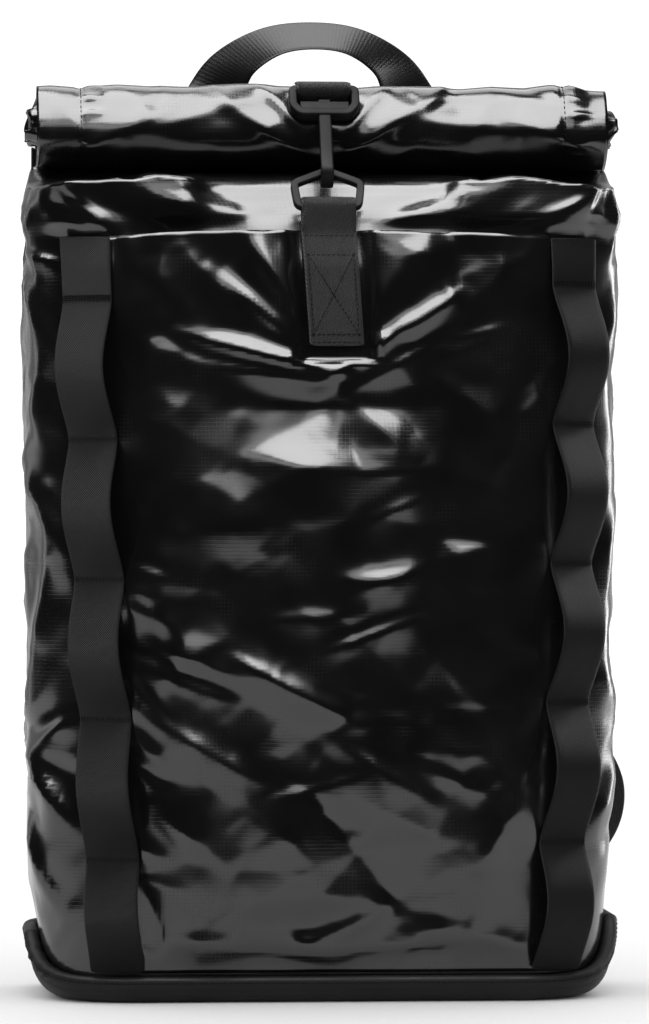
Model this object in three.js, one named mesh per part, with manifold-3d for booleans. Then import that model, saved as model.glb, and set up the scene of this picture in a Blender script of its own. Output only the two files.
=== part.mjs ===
// A roll-top backpack of coated cloth, standing on its base with its mouth rolled up and hooked shut.
// Millimetres, +Z up. The front faces -Y, and the origin is on the floor under the middle of the bag.

import * as THREE from "three";
import { mergeVertices } from "three/addons/utils/BufferGeometryUtils.js";
import Module from "manifold-3d";

const wasm = await Module();
wasm.setup();

// Cloth, webbing and the clearance between neighbouring pieces
const CLOTH = 1.6;
const WEBBING = 1.5;
const WEBBING_WIDTH = 30;
const GAP = 0.3;

// The sack by height: half width, front and back face, corner radii and the depth of the folded side gusset
const SECTIONS = [
  { z: 4, halfWidth: 150, front: -62, back: 66, frontCorner: 42, backCorner: 20, gusset: 0 },
  { z: 36, halfWidth: 155, front: -66, back: 67, frontCorner: 50, backCorner: 22, gusset: 0 },
  { z: 95, halfWidth: 159, front: -70, back: 68, frontCorner: 60, backCorner: 24, gusset: 0 },
  { z: 210, halfWidth: 160, front: -72, back: 68, frontCorner: 68, backCorner: 26, gusset: 0 },
  { z: 330, halfWidth: 161, front: -71, back: 68, frontCorner: 68, backCorner: 26, gusset: 0 },
  { z: 395, halfWidth: 163, front: -68, back: 68, frontCorner: 62, backCorner: 26, gusset: 8 },
  { z: 410, halfWidth: 163, front: -63.5, back: 67.5, frontCorner: 57, backCorner: 25, gusset: 14 },
  { z: 422, halfWidth: 163, front: -58, back: 66, frontCorner: 50, backCorner: 24, gusset: 18 },
  { z: 436, halfWidth: 162, front: -41, back: 55, frontCorner: 32, backCorner: 20, gusset: 18 },
  { z: 446, halfWidth: 161, front: -20, back: 36, frontCorner: 19, backCorner: 13, gusset: 9 },
  { z: 452, halfWidth: 160, front: -3, back: 17, frontCorner: 7.5, backCorner: 7, gusset: 3 },
  { z: 455, halfWidth: 159, front: 3, back: 9.2, frontCorner: 3, backCorner: 3, gusset: 0 },
  { z: 466, halfWidth: 159, front: 3, back: 9.2, frontCorner: 3, backCorner: 3, gusset: 0 },
];
const SHOULDER = 395;
const SACK_ROWS = 12;
const FOLD_LEVEL = 210;

// The base: height of its rim on each face, how far the sack's foot sits inside it, and its wall
const RIM = { front: 13, right: 42, back: 36, left: 35 };
const RIM_RISE = 4;
const BASE = { lap: 6, wall: 5.5, floor: 2.5, sideInset: 14, frontInset: 4, curveSteps: 5 };
const BEAD = { out: 8, crown: 4, rise: 1.5, drop: 2.5 };

// Straights and corners of the sack seen from above, counter-clockwise, with the turn of the outward normal
const RUNS = [
  { run: "front", side: 0, from: -90, turn: 0, steps: 10, rim: [RIM.front, RIM.front] },
  { run: "frontCorner", side: 1, from: -90, turn: 90, steps: 7, rim: [RIM.front, RIM.right] },
  { run: "side", side: 1, from: 0, turn: 0, steps: 4, rim: [RIM.right, RIM.right] },
  { run: "backCorner", side: 1, from: 0, turn: 90, steps: 3, rim: [RIM.right, RIM.back] },
  { run: "back", side: 0, from: 90, turn: 0, steps: 5, rim: [RIM.back, RIM.back] },
  { run: "backCorner", side: -1, from: 90, turn: 90, steps: 3, rim: [RIM.back, RIM.left] },
  { run: "side", side: -1, from: 180, turn: 0, steps: 4, rim: [RIM.left, RIM.left] },
  { run: "frontCorner", side: -1, from: 180, turn: 90, steps: 7, rim: [RIM.left, RIM.front] },
];

// Folds of the sack's sides: place along the outline from the middle of the front, height, lean of the crease
// from level in degrees, length, half width and rise
const SACK_FOLDS = [
  { s: -170, z: 366, lean: -38, length: 90, width: 13, rise: 6 },
  { s: -178, z: 300, lean: 30, length: 80, width: 14, rise: 5 },
  { s: -172, z: 232, lean: -25, length: 90, width: 14, rise: 6 },
  { s: -176, z: 160, lean: 34, length: 80, width: 13, rise: 5 },
  { s: -168, z: 92, lean: -30, length: 80, width: 13, rise: 5 },
  { s: 172, z: 352, lean: 35, length: 90, width: 13, rise: 6 },
  { s: 176, z: 284, lean: -40, length: 80, width: 13, rise: -5 },
  { s: 172, z: 220, lean: 28, length: 90, width: 14, rise: 6 },
  { s: 176, z: 142, lean: -30, length: 90, width: 14, rise: 5 },
  { s: 170, z: 86, lean: 34, length: 70, width: 13, rise: 5 },
];

// Front pocket: open along its top edge, slack in the middle, sewn down at its sides and foot
const POCKET = { foot: 16, mouth: 417, droop: 4, columns: 22, rows: 28, slack: 7.5, seam: 30, hem: 60 };

// Folds of the pocket, in the same columns, seen from the front with s as X
const POCKET_FOLDS = [
  { s: -38, z: 348, lean: -13, length: 96, width: 9, rise: 5 },
  { s: 30, z: 355, lean: 31, length: 82, width: 9, rise: 5 },
  { s: -40, z: 376, lean: -44, length: 66, width: 9, rise: 6 },
  { s: 40, z: 386, lean: 62, length: 70, width: 11, rise: 6 },
  { s: 0, z: 328, lean: 0, length: 130, width: 13, rise: -6 },
  { s: 24, z: 318, lean: -42, length: 62, width: 10, rise: 5 },
  { s: 6, z: 284, lean: 4, length: 110, width: 17, rise: 6 },
  { s: -54, z: 248, lean: 8, length: 120, width: 19, rise: 5 },
  { s: 28, z: 232, lean: 18, length: 70, width: 11, rise: 4 },
  { s: -20, z: 173, lean: -29, length: 84, width: 10, rise: 5 },
  { s: -74, z: 184, lean: -21, length: 84, width: 12, rise: 5 },
  { s: -70, z: 138, lean: -24, length: 74, width: 11, rise: 4 },
  { s: -72, z: 92, lean: -41, length: 66, width: 12, rise: 4 },
  { s: 92, z: 92, lean: 58, length: 60, width: 11, rise: 4 },
  { s: 0, z: 120, lean: 0, length: 190, width: 30, rise: 4 },
];

// Daisy chains: webbing sewn down at tacks, with a loop that stands off between each two of them
const CHAINS = [
  { node: "daisy_chain_left", side: -1, topX: 130, footX: 113, firstTack: 379.5 },
  { node: "daisy_chain_right", side: 1, topX: 130, footX: 123, firstTack: 388 },
];
const CHAIN = { top: 414, foot: 16, pitch: 75.4, tacks: 5, steps: 8, standOff: 13, pocketLap: 8 };

// Roll of the mouth: a spiral of the two pressed layers round a level axis, squeezed in its middle by the strap
// and tapered at its ends
const ROLL = { halfLength: 163, y: -15.2, z: 475, radius: 22.5, pitch: 4, thick: 2.4, turns: 2 };
const ROLL_TAIL = { drop: 17, halfLength: 148 };
const ROLL_SQUEEZE = { depth: 0.07, reach: 42 };
const ROLL_EAR = { length: 28, taper: 0.14 };
const ROLL_COLUMNS = 14;
const ROLL_STEPS_PER_TURN = 12;

// Tab, ring, hook and strap that hold the roll down
const TAB = { foot: 354, sewnTo: 416, lean: 4, clear: 17, fade: 14, rows: 8, loopSteps: 7 };
const RING = { bar: 3, footHalfWidth: 18.6, halfWidth: 20.4, shoulder: 15.5, peak: 23.2, tilt: 33 };
const RING_FOOT = { y: -71.5, z: 430 };
const FRAME = { width: 37, height: 16, thick: 5, side: 3, topBar: 3.5, footBar: 4.5, corner: 2 };
const STEM = { width: 7, thick: 3.5, bend: 5, bendSteps: 8, tip: 5, kneeHeight: 460, shoulder: 0.4 };
const HOOK_SEAT = { angle: 145, standOff: 5.3 };

// The closure strap's rise from the back to the roll, by its distance forward of the back panel, and its seats
// on the roll in degrees round it, first under the hook's frame and then back along itself
const STRAP_RISE = [
  { forward: 1.05, z: 430 },
  { forward: 2.1, z: 446 },
  { forward: 8.3, z: 460 },
  { forward: 36.3, z: 483 },
  { forward: 60.3, z: 495.5 },
];
const STRAP_SEATS = { under: [78, 90, 103, 116], over: [100, 86] };
const STRAP_STEPS = 3;

// Back panel and shoulder straps, whose routes give X, the distance off the panel and the height
const BACK = { halfWidth: 128, foot: 39, top: 452, thick: 7, corner: 34, face: 68 + GAP };
const PAD = { width: 58, thick: 9, steps: 16 };
const PAD_ROUTE = [
  { x: 46, off: 0, z: 446 },
  { x: 47, off: 0.8, z: 434 },
  { x: 50, off: 15, z: 410 },
  { x: 58, off: 34, z: 366 },
  { x: 72, off: 42, z: 300 },
  { x: 92, off: 34, z: 230 },
  { x: 108, off: 20, z: 180 },
];
const TAIL = { width: 25, steps: 20 };
const TAIL_ROUTE = [
  { x: 103, off: 22.1, z: 195, swing: 0 },
  { x: 109, off: 17.5, z: 178, swing: 0.02 },
  { x: 119, off: 12, z: 154, swing: 0.14 },
  { x: 127, off: 10, z: 124, swing: 0.6 },
  { x: 128, off: 9, z: 100, swing: 1 },
  { x: 125, off: 6, z: 76, swing: 0.6 },
  { x: 116, off: 0, z: 48, swing: 0 },
];
const SHOULDERS = [
  { name: "left", side: -1, swing: 0 },
  { name: "right", side: 1, swing: 40 },
];

// Grab handle: one strap that turns from flat on the back, through facing up at its crest, to flat again
const HANDLE = { width: 40, drop: 27, steps: 28 };
const HANDLE_ROUTE = [
  { x: -50, y: 67.2, z: 434, turn: 0 },
  { x: -50, y: 66, z: 462, turn: 0 },
  { x: -50, y: 63, z: 489, turn: 12 },
  { x: -48, y: 61, z: 503, turn: 44 },
  { x: -38.5, y: 57, z: 518, turn: 64 },
  { x: -20, y: 53, z: 529, turn: 78 },
  { x: 0, y: 51, z: 532.5, turn: 90 },
];

const COATED = { color: 0x0b0b0c, roughness: 0.25, metalness: 0 };
const WOVEN = { color: 0x1c1c1e, roughness: 0.85, metalness: 0 };
const MATT = { color: 0x171718, roughness: 0.7, metalness: 0 };
const MOULDED = { color: 0x2b2c2e, roughness: 0.5, metalness: 0.3 };

const rad = THREE.MathUtils.degToRad;
const mix = THREE.MathUtils.lerp;
const point = (x, y, z) => new THREE.Vector3(x, y, z);

function ease(t) {
  return THREE.MathUtils.smoothstep(t, 0, 1);
}

function steps(count) {
  return Array.from({ length: count + 1 }, (_, k) => k / count);
}

// Cubic through one column of a table by height, that never overshoots its rows
function tableValue(rows, column, z) {
  const slope = (k) => (rows[k + 1][column] - rows[k][column]) / (rows[k + 1].z - rows[k].z);
  const tangent = (k) => {
    if (k === 0) return slope(0);
    if (k === rows.length - 1) return slope(k - 1);
    const product = slope(k - 1) * slope(k);
    return product <= 0 ? 0 : (2 * product) / (slope(k - 1) + slope(k));
  };
  const above = rows.findIndex((row) => row.z > z);
  const i = above < 0 ? rows.length - 2 : Math.max(0, above - 1);
  const span = rows[i + 1].z - rows[i].z;
  const t = THREE.MathUtils.clamp((z - rows[i].z) / span, 0, 1);
  const u = 1 - t;
  const ends = u * u * (1 + 2 * t) * rows[i][column] + t * t * (1 + 2 * u) * rows[i + 1][column];
  return ends + span * t * u * (u * tangent(i) - t * tangent(i + 1));
}

function sectionAt(z) {
  const section = {};
  for (const column of Object.keys(SECTIONS[0])) section[column] = tableValue(SECTIONS, column, z);
  return section;
}

// Smooth curve through the rows of a route
function routeCurve(route) {
  return new THREE.CatmullRomCurve3(route.map((row) => point(row.x, row.y, row.z)));
}

// Points and triangles of one closed body, built row by row
class Skin {
  constructor() {
    this.points = [];
    this.triangles = [];
  }

  row(points) {
    const start = this.points.length;
    this.points.push(...points);
    return points.map((_, k) => start + k);
  }

  // Joins two rows, facing the way that turns from the first row's direction towards the second row
  band(lower, upper, closed) {
    const count = closed ? lower.length : lower.length - 1;
    for (let k = 0; k < count; k += 1) {
      const next = (k + 1) % lower.length;
      this.triangles.push(lower[k], lower[next], upper[next], lower[k], upper[next], upper[k]);
    }
  }

  fan(row, centre) {
    const [middle] = this.row([centre]);
    for (let k = 0; k < row.length; k += 1) this.triangles.push(row[k], row[(k + 1) % row.length], middle);
  }

  geometry() {
    const geometry = new THREE.BufferGeometry().setFromPoints(this.points);
    geometry.setIndex(this.triangles);
    return geometry;
  }
}

function gridNormals(grid, closed) {
  const lastRow = grid.length - 1;
  const count = grid[0].length;
  const near = (i) => (closed ? (i + count) % count : THREE.MathUtils.clamp(i, 0, count - 1));
  return grid.map((row, j) => row.map((_, i) => {
    const across = row[near(i + 1)].clone().sub(row[near(i - 1)]);
    const along = grid[Math.min(j + 1, lastRow)][i].clone().sub(grid[Math.max(j - 1, 0)][i]);
    return across.cross(along).normalize();
  }));
}

// Closed body between two grids of the same size
function shell(outer, inner, closed) {
  const skin = new Skin();
  const out = outer.map((row) => skin.row(row));
  const within = inner.map((row) => skin.row(row));
  const last = outer.length - 1;
  for (let j = 0; j < last; j += 1) {
    skin.band(out[j], out[j + 1], closed);
    skin.band(within[j + 1], within[j], closed);
  }
  skin.band(within[0], out[0], closed);
  skin.band(out[last], within[last], closed);
  if (!closed) {
    const end = outer[0].length - 1;
    const edge = (rows, i) => rows.map((row) => row[i]);
    skin.band(edge(out, 0), edge(within, 0), false);
    skin.band(edge(within, end), edge(out, end), false);
  }
  return skin.geometry();
}

// Cloth of even thickness on a grid, so far above it and so far below it
function cloth(grid, above, below, closed = false) {
  const normals = gridNormals(grid, closed);
  const shifted = (by) => grid.map((row, j) => row.map(
    (p, i) => p.clone().addScaledVector(normals[j][i], by),
  ));
  return shell(shifted(above), shifted(-below), closed);
}

// Strap of even thickness whose middle follows stations with a direction across it
function strap(stations, width, thick) {
  const edges = stations.map(({ at, across }) => [-1, 1].map(
    (side) => at.clone().addScaledVector(across, (side * width) / 2),
  ));
  return cloth(edges, thick / 2, thick / 2);
}

function mesh(name, geometry, finish) {
  const merged = mergeVertices(geometry, 1e-4);
  merged.computeVertexNormals();
  const made = new THREE.Mesh(merged, new THREE.MeshStandardMaterial(finish));
  made.name = name;
  return made;
}

function solid(geometry) {
  const bare = geometry.clone();
  for (const attribute of Object.keys(bare.attributes)) {
    if (attribute !== "position") bare.deleteAttribute(attribute);
  }
  const merged = mergeVertices(bare, 1e-4);
  return new wasm.Manifold(new wasm.Mesh({
    numProp: 3,
    vertProperties: new Float32Array(merged.attributes.position.array),
    triVerts: new Uint32Array(merged.index.array),
  }));
}

function joined(first, second) {
  const result = solid(first).add(solid(second)).getMesh();
  const geometry = new THREE.BufferGeometry();
  geometry.setAttribute("position", new THREE.BufferAttribute(result.vertProperties, 3));
  geometry.setIndex(new THREE.BufferAttribute(result.triVerts, 1));
  return geometry;
}

// Rise of all folds at one place: rounded ridges that fade towards their ends
function foldRise(folds, s, z) {
  return folds.reduce((sum, fold) => {
    const lean = rad(fold.lean);
    const along = (s - fold.s) * Math.cos(lean) + (z - fold.z) * Math.sin(lean);
    const aside = (z - fold.z) * Math.cos(lean) - (s - fold.s) * Math.sin(lean);
    const fade = Math.max(0, 1 - (2 * along / fold.length) ** 2);
    return sum + fold.rise * fade * Math.exp(-((aside / fold.width) ** 2));
  }, 0);
}

// The sack's outline, and its place by the length along it
function outlinePoint(column, z) {
  const section = sectionAt(z);
  const { halfWidth, front, back, gusset } = section;
  const frontMiddle = front + section.frontCorner;
  const backMiddle = back - section.backCorner;
  if (column.run === "front") {
    return point(mix(-1, 1, column.t) * (halfWidth - section.frontCorner), front, z);
  }
  if (column.run === "back") {
    return point(mix(1, -1, column.t) * (halfWidth - section.backCorner), back, z);
  }
  if (column.run === "side") {
    const fromFront = column.side > 0 ? column.t : 1 - column.t;
    const x = halfWidth - gusset * Math.sin(Math.PI * fromFront);
    return point(column.side * x, mix(frontMiddle, backMiddle, fromFront), z);
  }
  const radius = section[column.run];
  const middle = column.run === "frontCorner" ? frontMiddle : backMiddle;
  const x = column.side * (halfWidth - radius) + radius * Math.cos(column.normal);
  return point(x, middle + radius * Math.sin(column.normal), z);
}

// Height of the base's rim on one run: a corner keeps to the front's or the back's rim and rises near the side
function rimHeight(run, t) {
  const endsAtSide = (run.side > 0) === (run.run === "frontCorner");
  const nearSide = endsAtSide ? t : 1 - t;
  const [away, atSide] = endsAtSide ? run.rim : [...run.rim].reverse();
  return mix(away, atSide, nearSide ** RIM_RISE);
}

function outlineColumns() {
  const columns = RUNS.flatMap((run) => steps(run.steps).slice(0, -1).map(
    (t) => ({ ...run, t, rim: rimHeight(run, t), normal: rad(run.from + run.turn * t) }),
  ));
  const points = columns.map((column) => outlinePoint(column, FOLD_LEVEL));
  const lengths = points.map((p, k) => p.distanceTo(points[(k + 1) % points.length]));
  const round = lengths.reduce((sum, length) => sum + length, 0);
  let s = points[0].x;
  columns.forEach((column, k) => {
    column.s = s > round / 2 ? s - round : s;
    s += lengths[k];
  });
  return columns;
}

function outward(column) {
  return point(Math.cos(column.normal), Math.sin(column.normal), 0);
}

const COLUMNS = outlineColumns();

function sackWall() {
  const lower = steps(SACK_ROWS).map((t) => COLUMNS.map((column) => mix(column.rim - BASE.lap, SHOULDER, t)));
  const upper = SECTIONS.filter((section) => section.z > SHOULDER).map(({ z }) => COLUMNS.map(() => z));
  const heights = [...lower, ...upper];
  const grid = heights.map((row) => row.map((z, i) => {
    const column = COLUMNS[i];
    return outlinePoint(column, z).addScaledVector(outward(column), foldRise(SACK_FOLDS, column.s, z));
  }));
  return mesh("sack_wall", cloth(grid, 0, CLOTH, true), COATED);
}

// The base: a bead round the rim, a curved wall under it and a flat floor, lying outside the sack's foot
function basePanel() {
  const place = (column, off, z) => {
    const onRim = outlinePoint(column, column.rim);
    return onRim.addScaledVector(outward(column), off).setZ(z);
  };
  const insetOf = (column) => mix(BASE.frontInset, BASE.sideInset, Math.abs(Math.cos(column.normal)));
  const profile = (column, from, top, floor) => steps(BASE.curveSteps).map((t) => {
    const angle = (t * Math.PI) / 2;
    const off = mix(-insetOf(column), from, Math.cos(angle));
    return place(column, off, mix(floor, top, 1 - Math.sin(angle)));
  });
  const outsides = COLUMNS.map((column) => [
    place(column, GAP, column.rim),
    place(column, BEAD.crown, column.rim + BEAD.rise),
    place(column, BEAD.out, column.rim - BEAD.drop),
    ...profile(column, BASE.wall, column.rim - BASE.lap, 0),
  ]);
  const insides = COLUMNS.map((column) => [
    place(column, GAP, column.rim),
    ...profile(column, GAP, column.rim - BASE.lap - GAP, BASE.floor),
  ]);
  const skin = new Skin();
  const rows = (sides) => sides[0].map((_, j) => skin.row(sides.map((side) => side[j])));
  const out = rows(outsides);
  const within = rows(insides);
  for (let j = 1; j < out.length; j += 1) skin.band(out[j], out[j - 1], true);
  for (let j = 1; j < within.length; j += 1) skin.band(within[j - 1], within[j], true);
  skin.fan([...out.at(-1)].reverse(), point(0, 0, 0));
  skin.fan(within.at(-1), point(0, 0, BASE.floor));
  return mesh("base_panel", skin.geometry(), MATT);
}

// The sack's front without folds: its depth at one place, the way out of it and the way across it
function frontFace(x, z) {
  const section = sectionAt(z);
  const past = Math.max(0, Math.abs(x) - (section.halfWidth - section.frontCorner));
  const turn = Math.asin(Math.min(1, past / section.frontCorner)) * Math.sign(x);
  const y = section.front + section.frontCorner * (1 - Math.cos(turn));
  return {
    at: point(x, y, z),
    out: point(Math.sin(turn), -Math.cos(turn), 0),
    across: point(Math.cos(turn), Math.sin(turn), 0),
  };
}

function chainX(chain, z) {
  return chain.side * mix(chain.footX, chain.topX, (z - CHAIN.foot) / (CHAIN.top - CHAIN.foot));
}

function tabX(z) {
  return TAB.lean * Math.max(0, 1 - (z - TAB.foot) / (TAB.sewnTo - TAB.foot));
}

// How far the pocket's outside stands off the sack
function pocketStandOff(x, z) {
  const edges = CHAINS.map((chain) => Math.abs(chainX(chain, z)) - CHAIN.pocketLap - chain.side * x);
  const loose = ease(Math.min(...edges) / POCKET.seam) * ease((z - POCKET.foot) / POCKET.hem);
  const fromTab = Math.abs(x - tabX(z)) - TAB.clear;
  const free = z < TAB.foot - TAB.fade ? 1 : ease(fromTab / TAB.fade);
  return GAP + CLOTH + loose * (POCKET.slack + free * foldRise(POCKET_FOLDS, x, z));
}

function frontPocket() {
  const grid = steps(POCKET.rows).map((up) => steps(POCKET.columns).map((t) => {
    const level = mix(POCKET.foot, POCKET.mouth - POCKET.droop, up);
    const [left, right] = CHAINS.map((chain) => chainX(chain, level) - chain.side * CHAIN.pocketLap);
    const x = mix(left, right, t);
    const z = level + up * POCKET.droop * (1 - (2 * t - 1) ** 2);
    const face = frontFace(x, z);
    return face.at.addScaledVector(face.out, pocketStandOff(x, z));
  }));
  return mesh("front_pocket", cloth(grid, 0, CLOTH), COATED);
}

function daisyChain(chain) {
  const tacks = Array.from({ length: CHAIN.tacks }, (_, k) => chain.firstTack - k * CHAIN.pitch);
  const ends = [CHAIN.top, ...tacks, CHAIN.foot];
  const seat = GAP + CLOTH + GAP + WEBBING / 2;
  const stations = ends.slice(1).flatMap((foot, loop) => {
    const places = steps(CHAIN.steps).slice(loop === 0 ? 0 : 1);
    return places.map((t) => {
      const z = mix(ends[loop], foot, t);
      const face = frontFace(chainX(chain, z), z);
      const arch = loop === 0 ? 0 : CHAIN.standOff * Math.sin(Math.PI * t) ** 2;
      return { at: face.at.addScaledVector(face.out, seat + arch), across: face.across };
    });
  });
  return mesh(chain.node, strap(stations.reverse(), WEBBING_WIDTH, WEBBING), WOVEN);
}

// The roll, in turns round its axis from the back, over the top and down the front
function rollRadius(turn, x) {
  const fromEnd = Math.max(0, 1 - (ROLL.halfLength - Math.abs(x)) / ROLL_EAR.length);
  const squeeze = ROLL_SQUEEZE.depth * Math.exp(-((x / ROLL_SQUEEZE.reach) ** 2));
  const press = (squeeze + ROLL_EAR.taper * fromEnd ** 2) * Math.sin(Math.PI * turn) ** 2;
  return (ROLL.radius - ROLL.pitch * turn) * (1 - press);
}

function rollPoint(turn, x, off = 0) {
  const radius = rollRadius(turn, x) + off;
  const angle = 2 * Math.PI * turn;
  return point(x, ROLL.y + radius * Math.cos(angle), ROLL.z + radius * Math.sin(angle));
}

function rolledMouth() {
  const across = steps(ROLL_COLUMNS).map((t) => mix(-ROLL.halfLength, ROLL.halfLength, t));
  const narrower = ROLL_TAIL.halfLength / ROLL.halfLength;
  const tail = across.map((x) => rollPoint(0, x * narrower).add(point(0, 0, -ROLL_TAIL.drop)));
  const turns = steps(ROLL.turns * ROLL_STEPS_PER_TURN).map((t) => t * ROLL.turns);
  const round = turns.map((turn) => across.map((x) => rollPoint(turn, x)));
  const grid = [tail, ...round].map((row) => [...row].reverse());
  return mesh("rolled_mouth", cloth(grid, 0, ROLL.thick), COATED);
}

// The tab: webbing up the pocket, round the ring's foot bar and down again behind itself
function closureTab() {
  const behind = (z) => frontFace(tabX(z), z).at.y - pocketStandOff(tabX(z), z) - GAP;
  const layers = steps(TAB.rows).map((t) => mix(TAB.foot, TAB.sewnTo, t));
  const loop = (RING.bar / 2) * Math.SQRT2 + 2 * GAP + WEBBING;
  const front = layers.map((z) => point(tabX(z), behind(z) - 2 * WEBBING - GAP, z));
  const over = steps(TAB.loopSteps).map((t) => {
    const angle = Math.PI * (1 - t);
    return point(0, RING_FOOT.y + loop * Math.cos(angle), RING_FOOT.z + loop * Math.sin(angle));
  });
  const back = [...layers].reverse().map((z) => point(tabX(z), behind(z), z));
  const half = point(WEBBING_WIDTH / 2, 0, 0);
  const grid = [...front, ...over, ...back].map((p) => [p.clone().sub(half), p.clone().add(half)]);
  return mesh("closure_tab", cloth(grid, 0, WEBBING), WOVEN);
}

// Five-sided ring: a foot bar for the tab, two uprights that widen and a peaked top for the hook
function closureRing() {
  const corners = (inset) => [
    [-RING.footHalfWidth + inset, -RING.bar / 2 + inset],
    [RING.footHalfWidth - inset, -RING.bar / 2 + inset],
    [RING.halfWidth - inset, RING.shoulder - inset / 3],
    [0, RING.peak + RING.bar / 2 - inset],
    [-RING.halfWidth + inset, RING.shoulder - inset / 3],
  ].map(([x, y]) => new THREE.Vector2(x, y));
  const shape = new THREE.Shape(corners(0));
  shape.holes.push(new THREE.Path(corners(RING.bar)));
  const bar = new THREE.ExtrudeGeometry(shape, { depth: RING.bar, bevelEnabled: false });
  bar.translate(0, 0, -RING.bar / 2);
  bar.rotateX(Math.PI / 2 - rad(RING.tilt));
  bar.translate(0, RING_FOOT.y, RING_FOOT.z);
  return mesh("closure_ring", bar, MOULDED);
}

// Place on the hook's frame: up along the frame and out of its face
const SEAT_TURN = HOOK_SEAT.angle / 360;
const FRAME_LEAN = Math.PI - rad(HOOK_SEAT.angle);
const FRAME_MIDDLE = rollPoint(SEAT_TURN, 0, HOOK_SEAT.standOff);

function onFrame(up, out, x = 0) {
  const y = up * Math.sin(FRAME_LEAN) - out * Math.cos(FRAME_LEAN);
  const z = up * Math.cos(FRAME_LEAN) + out * Math.sin(FRAME_LEAN);
  return FRAME_MIDDLE.clone().add(point(x, y, z));
}

function roundedRectangle(halfWidth, bottom, top, corner) {
  const shape = new THREE.Shape();
  shape.absarc(halfWidth - corner, bottom + corner, corner, -Math.PI / 2, 0);
  shape.absarc(halfWidth - corner, top - corner, corner, 0, Math.PI / 2);
  shape.absarc(-halfWidth + corner, top - corner, corner, Math.PI / 2, Math.PI);
  shape.absarc(-halfWidth + corner, bottom + corner, corner, Math.PI, 1.5 * Math.PI);
  return shape;
}

function hookFrame() {
  const half = FRAME.height / 2;
  const shape = roundedRectangle(FRAME.width / 2, -half, half, FRAME.corner);
  const slotHalf = FRAME.width / 2 - FRAME.side;
  shape.holes.push(roundedRectangle(slotHalf, -half + FRAME.footBar, half - FRAME.topBar, FRAME.corner / 2));
  const options = { depth: FRAME.thick, bevelEnabled: false, curveSegments: 3 };
  const plate = new THREE.ExtrudeGeometry(shape, options);
  plate.translate(0, 0, -FRAME.thick / 2);
  plate.rotateX(Math.PI / 2 - FRAME_LEAN);
  plate.translate(FRAME_MIDDLE.x, FRAME_MIDDLE.y, FRAME_MIDDLE.z);
  return plate;
}

// The stem runs down from the frame, bends in front of the ring's peak and turns up behind it
function closureHook() {
  const peak = point(0, Math.sin(rad(RING.tilt)), Math.cos(rad(RING.tilt))).multiplyScalar(RING.peak);
  peak.add(point(0, RING_FOOT.y, RING_FOOT.z - RING.bar / 2));
  const start = onFrame(-FRAME.height / 2 + FRAME.footBar / 2, 0);
  const drop = (start.z - STEM.kneeHeight) / Math.cos(FRAME_LEAN);
  const knee = onFrame(-FRAME.height / 2 + FRAME.footBar / 2 - drop, 0);
  const bend = steps(STEM.bendSteps).map((t) => {
    const angle = Math.PI * (1 + t);
    return point(0, peak.y + STEM.bend * Math.cos(angle), peak.z + STEM.bend * Math.sin(angle));
  });
  const tip = bend.at(-1).clone().add(point(0, 0, STEM.tip));
  const shoulder = point(0, bend[0].y, mix(bend[0].z, knee.z, STEM.shoulder));
  const stations = [start, knee, shoulder, ...bend, tip];
  const stem = strap(stations.map((at) => ({ at, across: point(-1, 0, 0) })), STEM.width, STEM.thick);
  return mesh("closure_hook", joined(hookFrame(), stem), MOULDED);
}

// The strap comes up the back, over the roll, round the frame's top bar and back along itself
function closureStrap() {
  const seat = GAP + WEBBING / 2;
  const secondSeat = seat + WEBBING + 2 * GAP;
  const onRoll = (degrees, off) => rollPoint(degrees / 360, 0, off);
  const barFoot = FRAME.height / 2 - FRAME.topBar;
  const over = FRAME.thick / 2 + 2 * GAP + WEBBING / 2;
  const path = [
    ...STRAP_RISE.map(({ forward, z }) => point(0, BACK.face - forward, z)),
    ...STRAP_SEATS.under.map((degrees) => onRoll(degrees, seat)),
    onFrame(barFoot, -over),
    onFrame(barFoot - WEBBING, 0),
    onFrame(barFoot, over),
    onFrame(barFoot + FRAME.topBar, over),
    onFrame(barFoot + 2 * FRAME.topBar, 0),
    ...STRAP_SEATS.over.map((degrees) => onRoll(degrees, secondSeat)),
  ];
  const curve = new THREE.CatmullRomCurve3(path, false, "centripetal");
  const places = curve.getPoints(STRAP_STEPS * (path.length - 1));
  const stations = places.map((at) => ({ at, across: point(1, 0, 0) }));
  return mesh("closure_strap", strap(stations, WEBBING_WIDTH, WEBBING), WOVEN);
}

function grabHandle() {
  const firstHalf = HANDLE_ROUTE.slice(0, -1);
  const mirrored = firstHalf.reverse().map((row) => ({ ...row, x: -row.x, turn: 180 - row.turn }));
  const route = [...HANDLE_ROUTE, ...mirrored];
  const curve = routeCurve(route);
  const drop = rad(HANDLE.drop);
  const stations = steps(HANDLE.steps).map((t) => {
    const place = t * (route.length - 1);
    const k = Math.min(Math.floor(place), route.length - 2);
    const turn = rad(mix(route[k].turn, route[k + 1].turn, place - k));
    const back = -Math.sin(turn);
    const across = point(Math.cos(turn), back * Math.cos(drop), back * Math.sin(drop));
    return { at: curve.getPoint(t), across };
  });
  return mesh("grab_handle", strap(stations, HANDLE.width, WEBBING), WOVEN);
}

function backPanel() {
  const shape = roundedRectangle(BACK.halfWidth, BACK.foot, BACK.top, BACK.corner);
  const pad = new THREE.ExtrudeGeometry(shape, { depth: BACK.thick, bevelEnabled: false, curveSegments: 6 });
  pad.rotateX(Math.PI / 2);
  pad.translate(0, BACK.face + BACK.thick, 0);
  return mesh("back_panel", pad, MATT);
}

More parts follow.
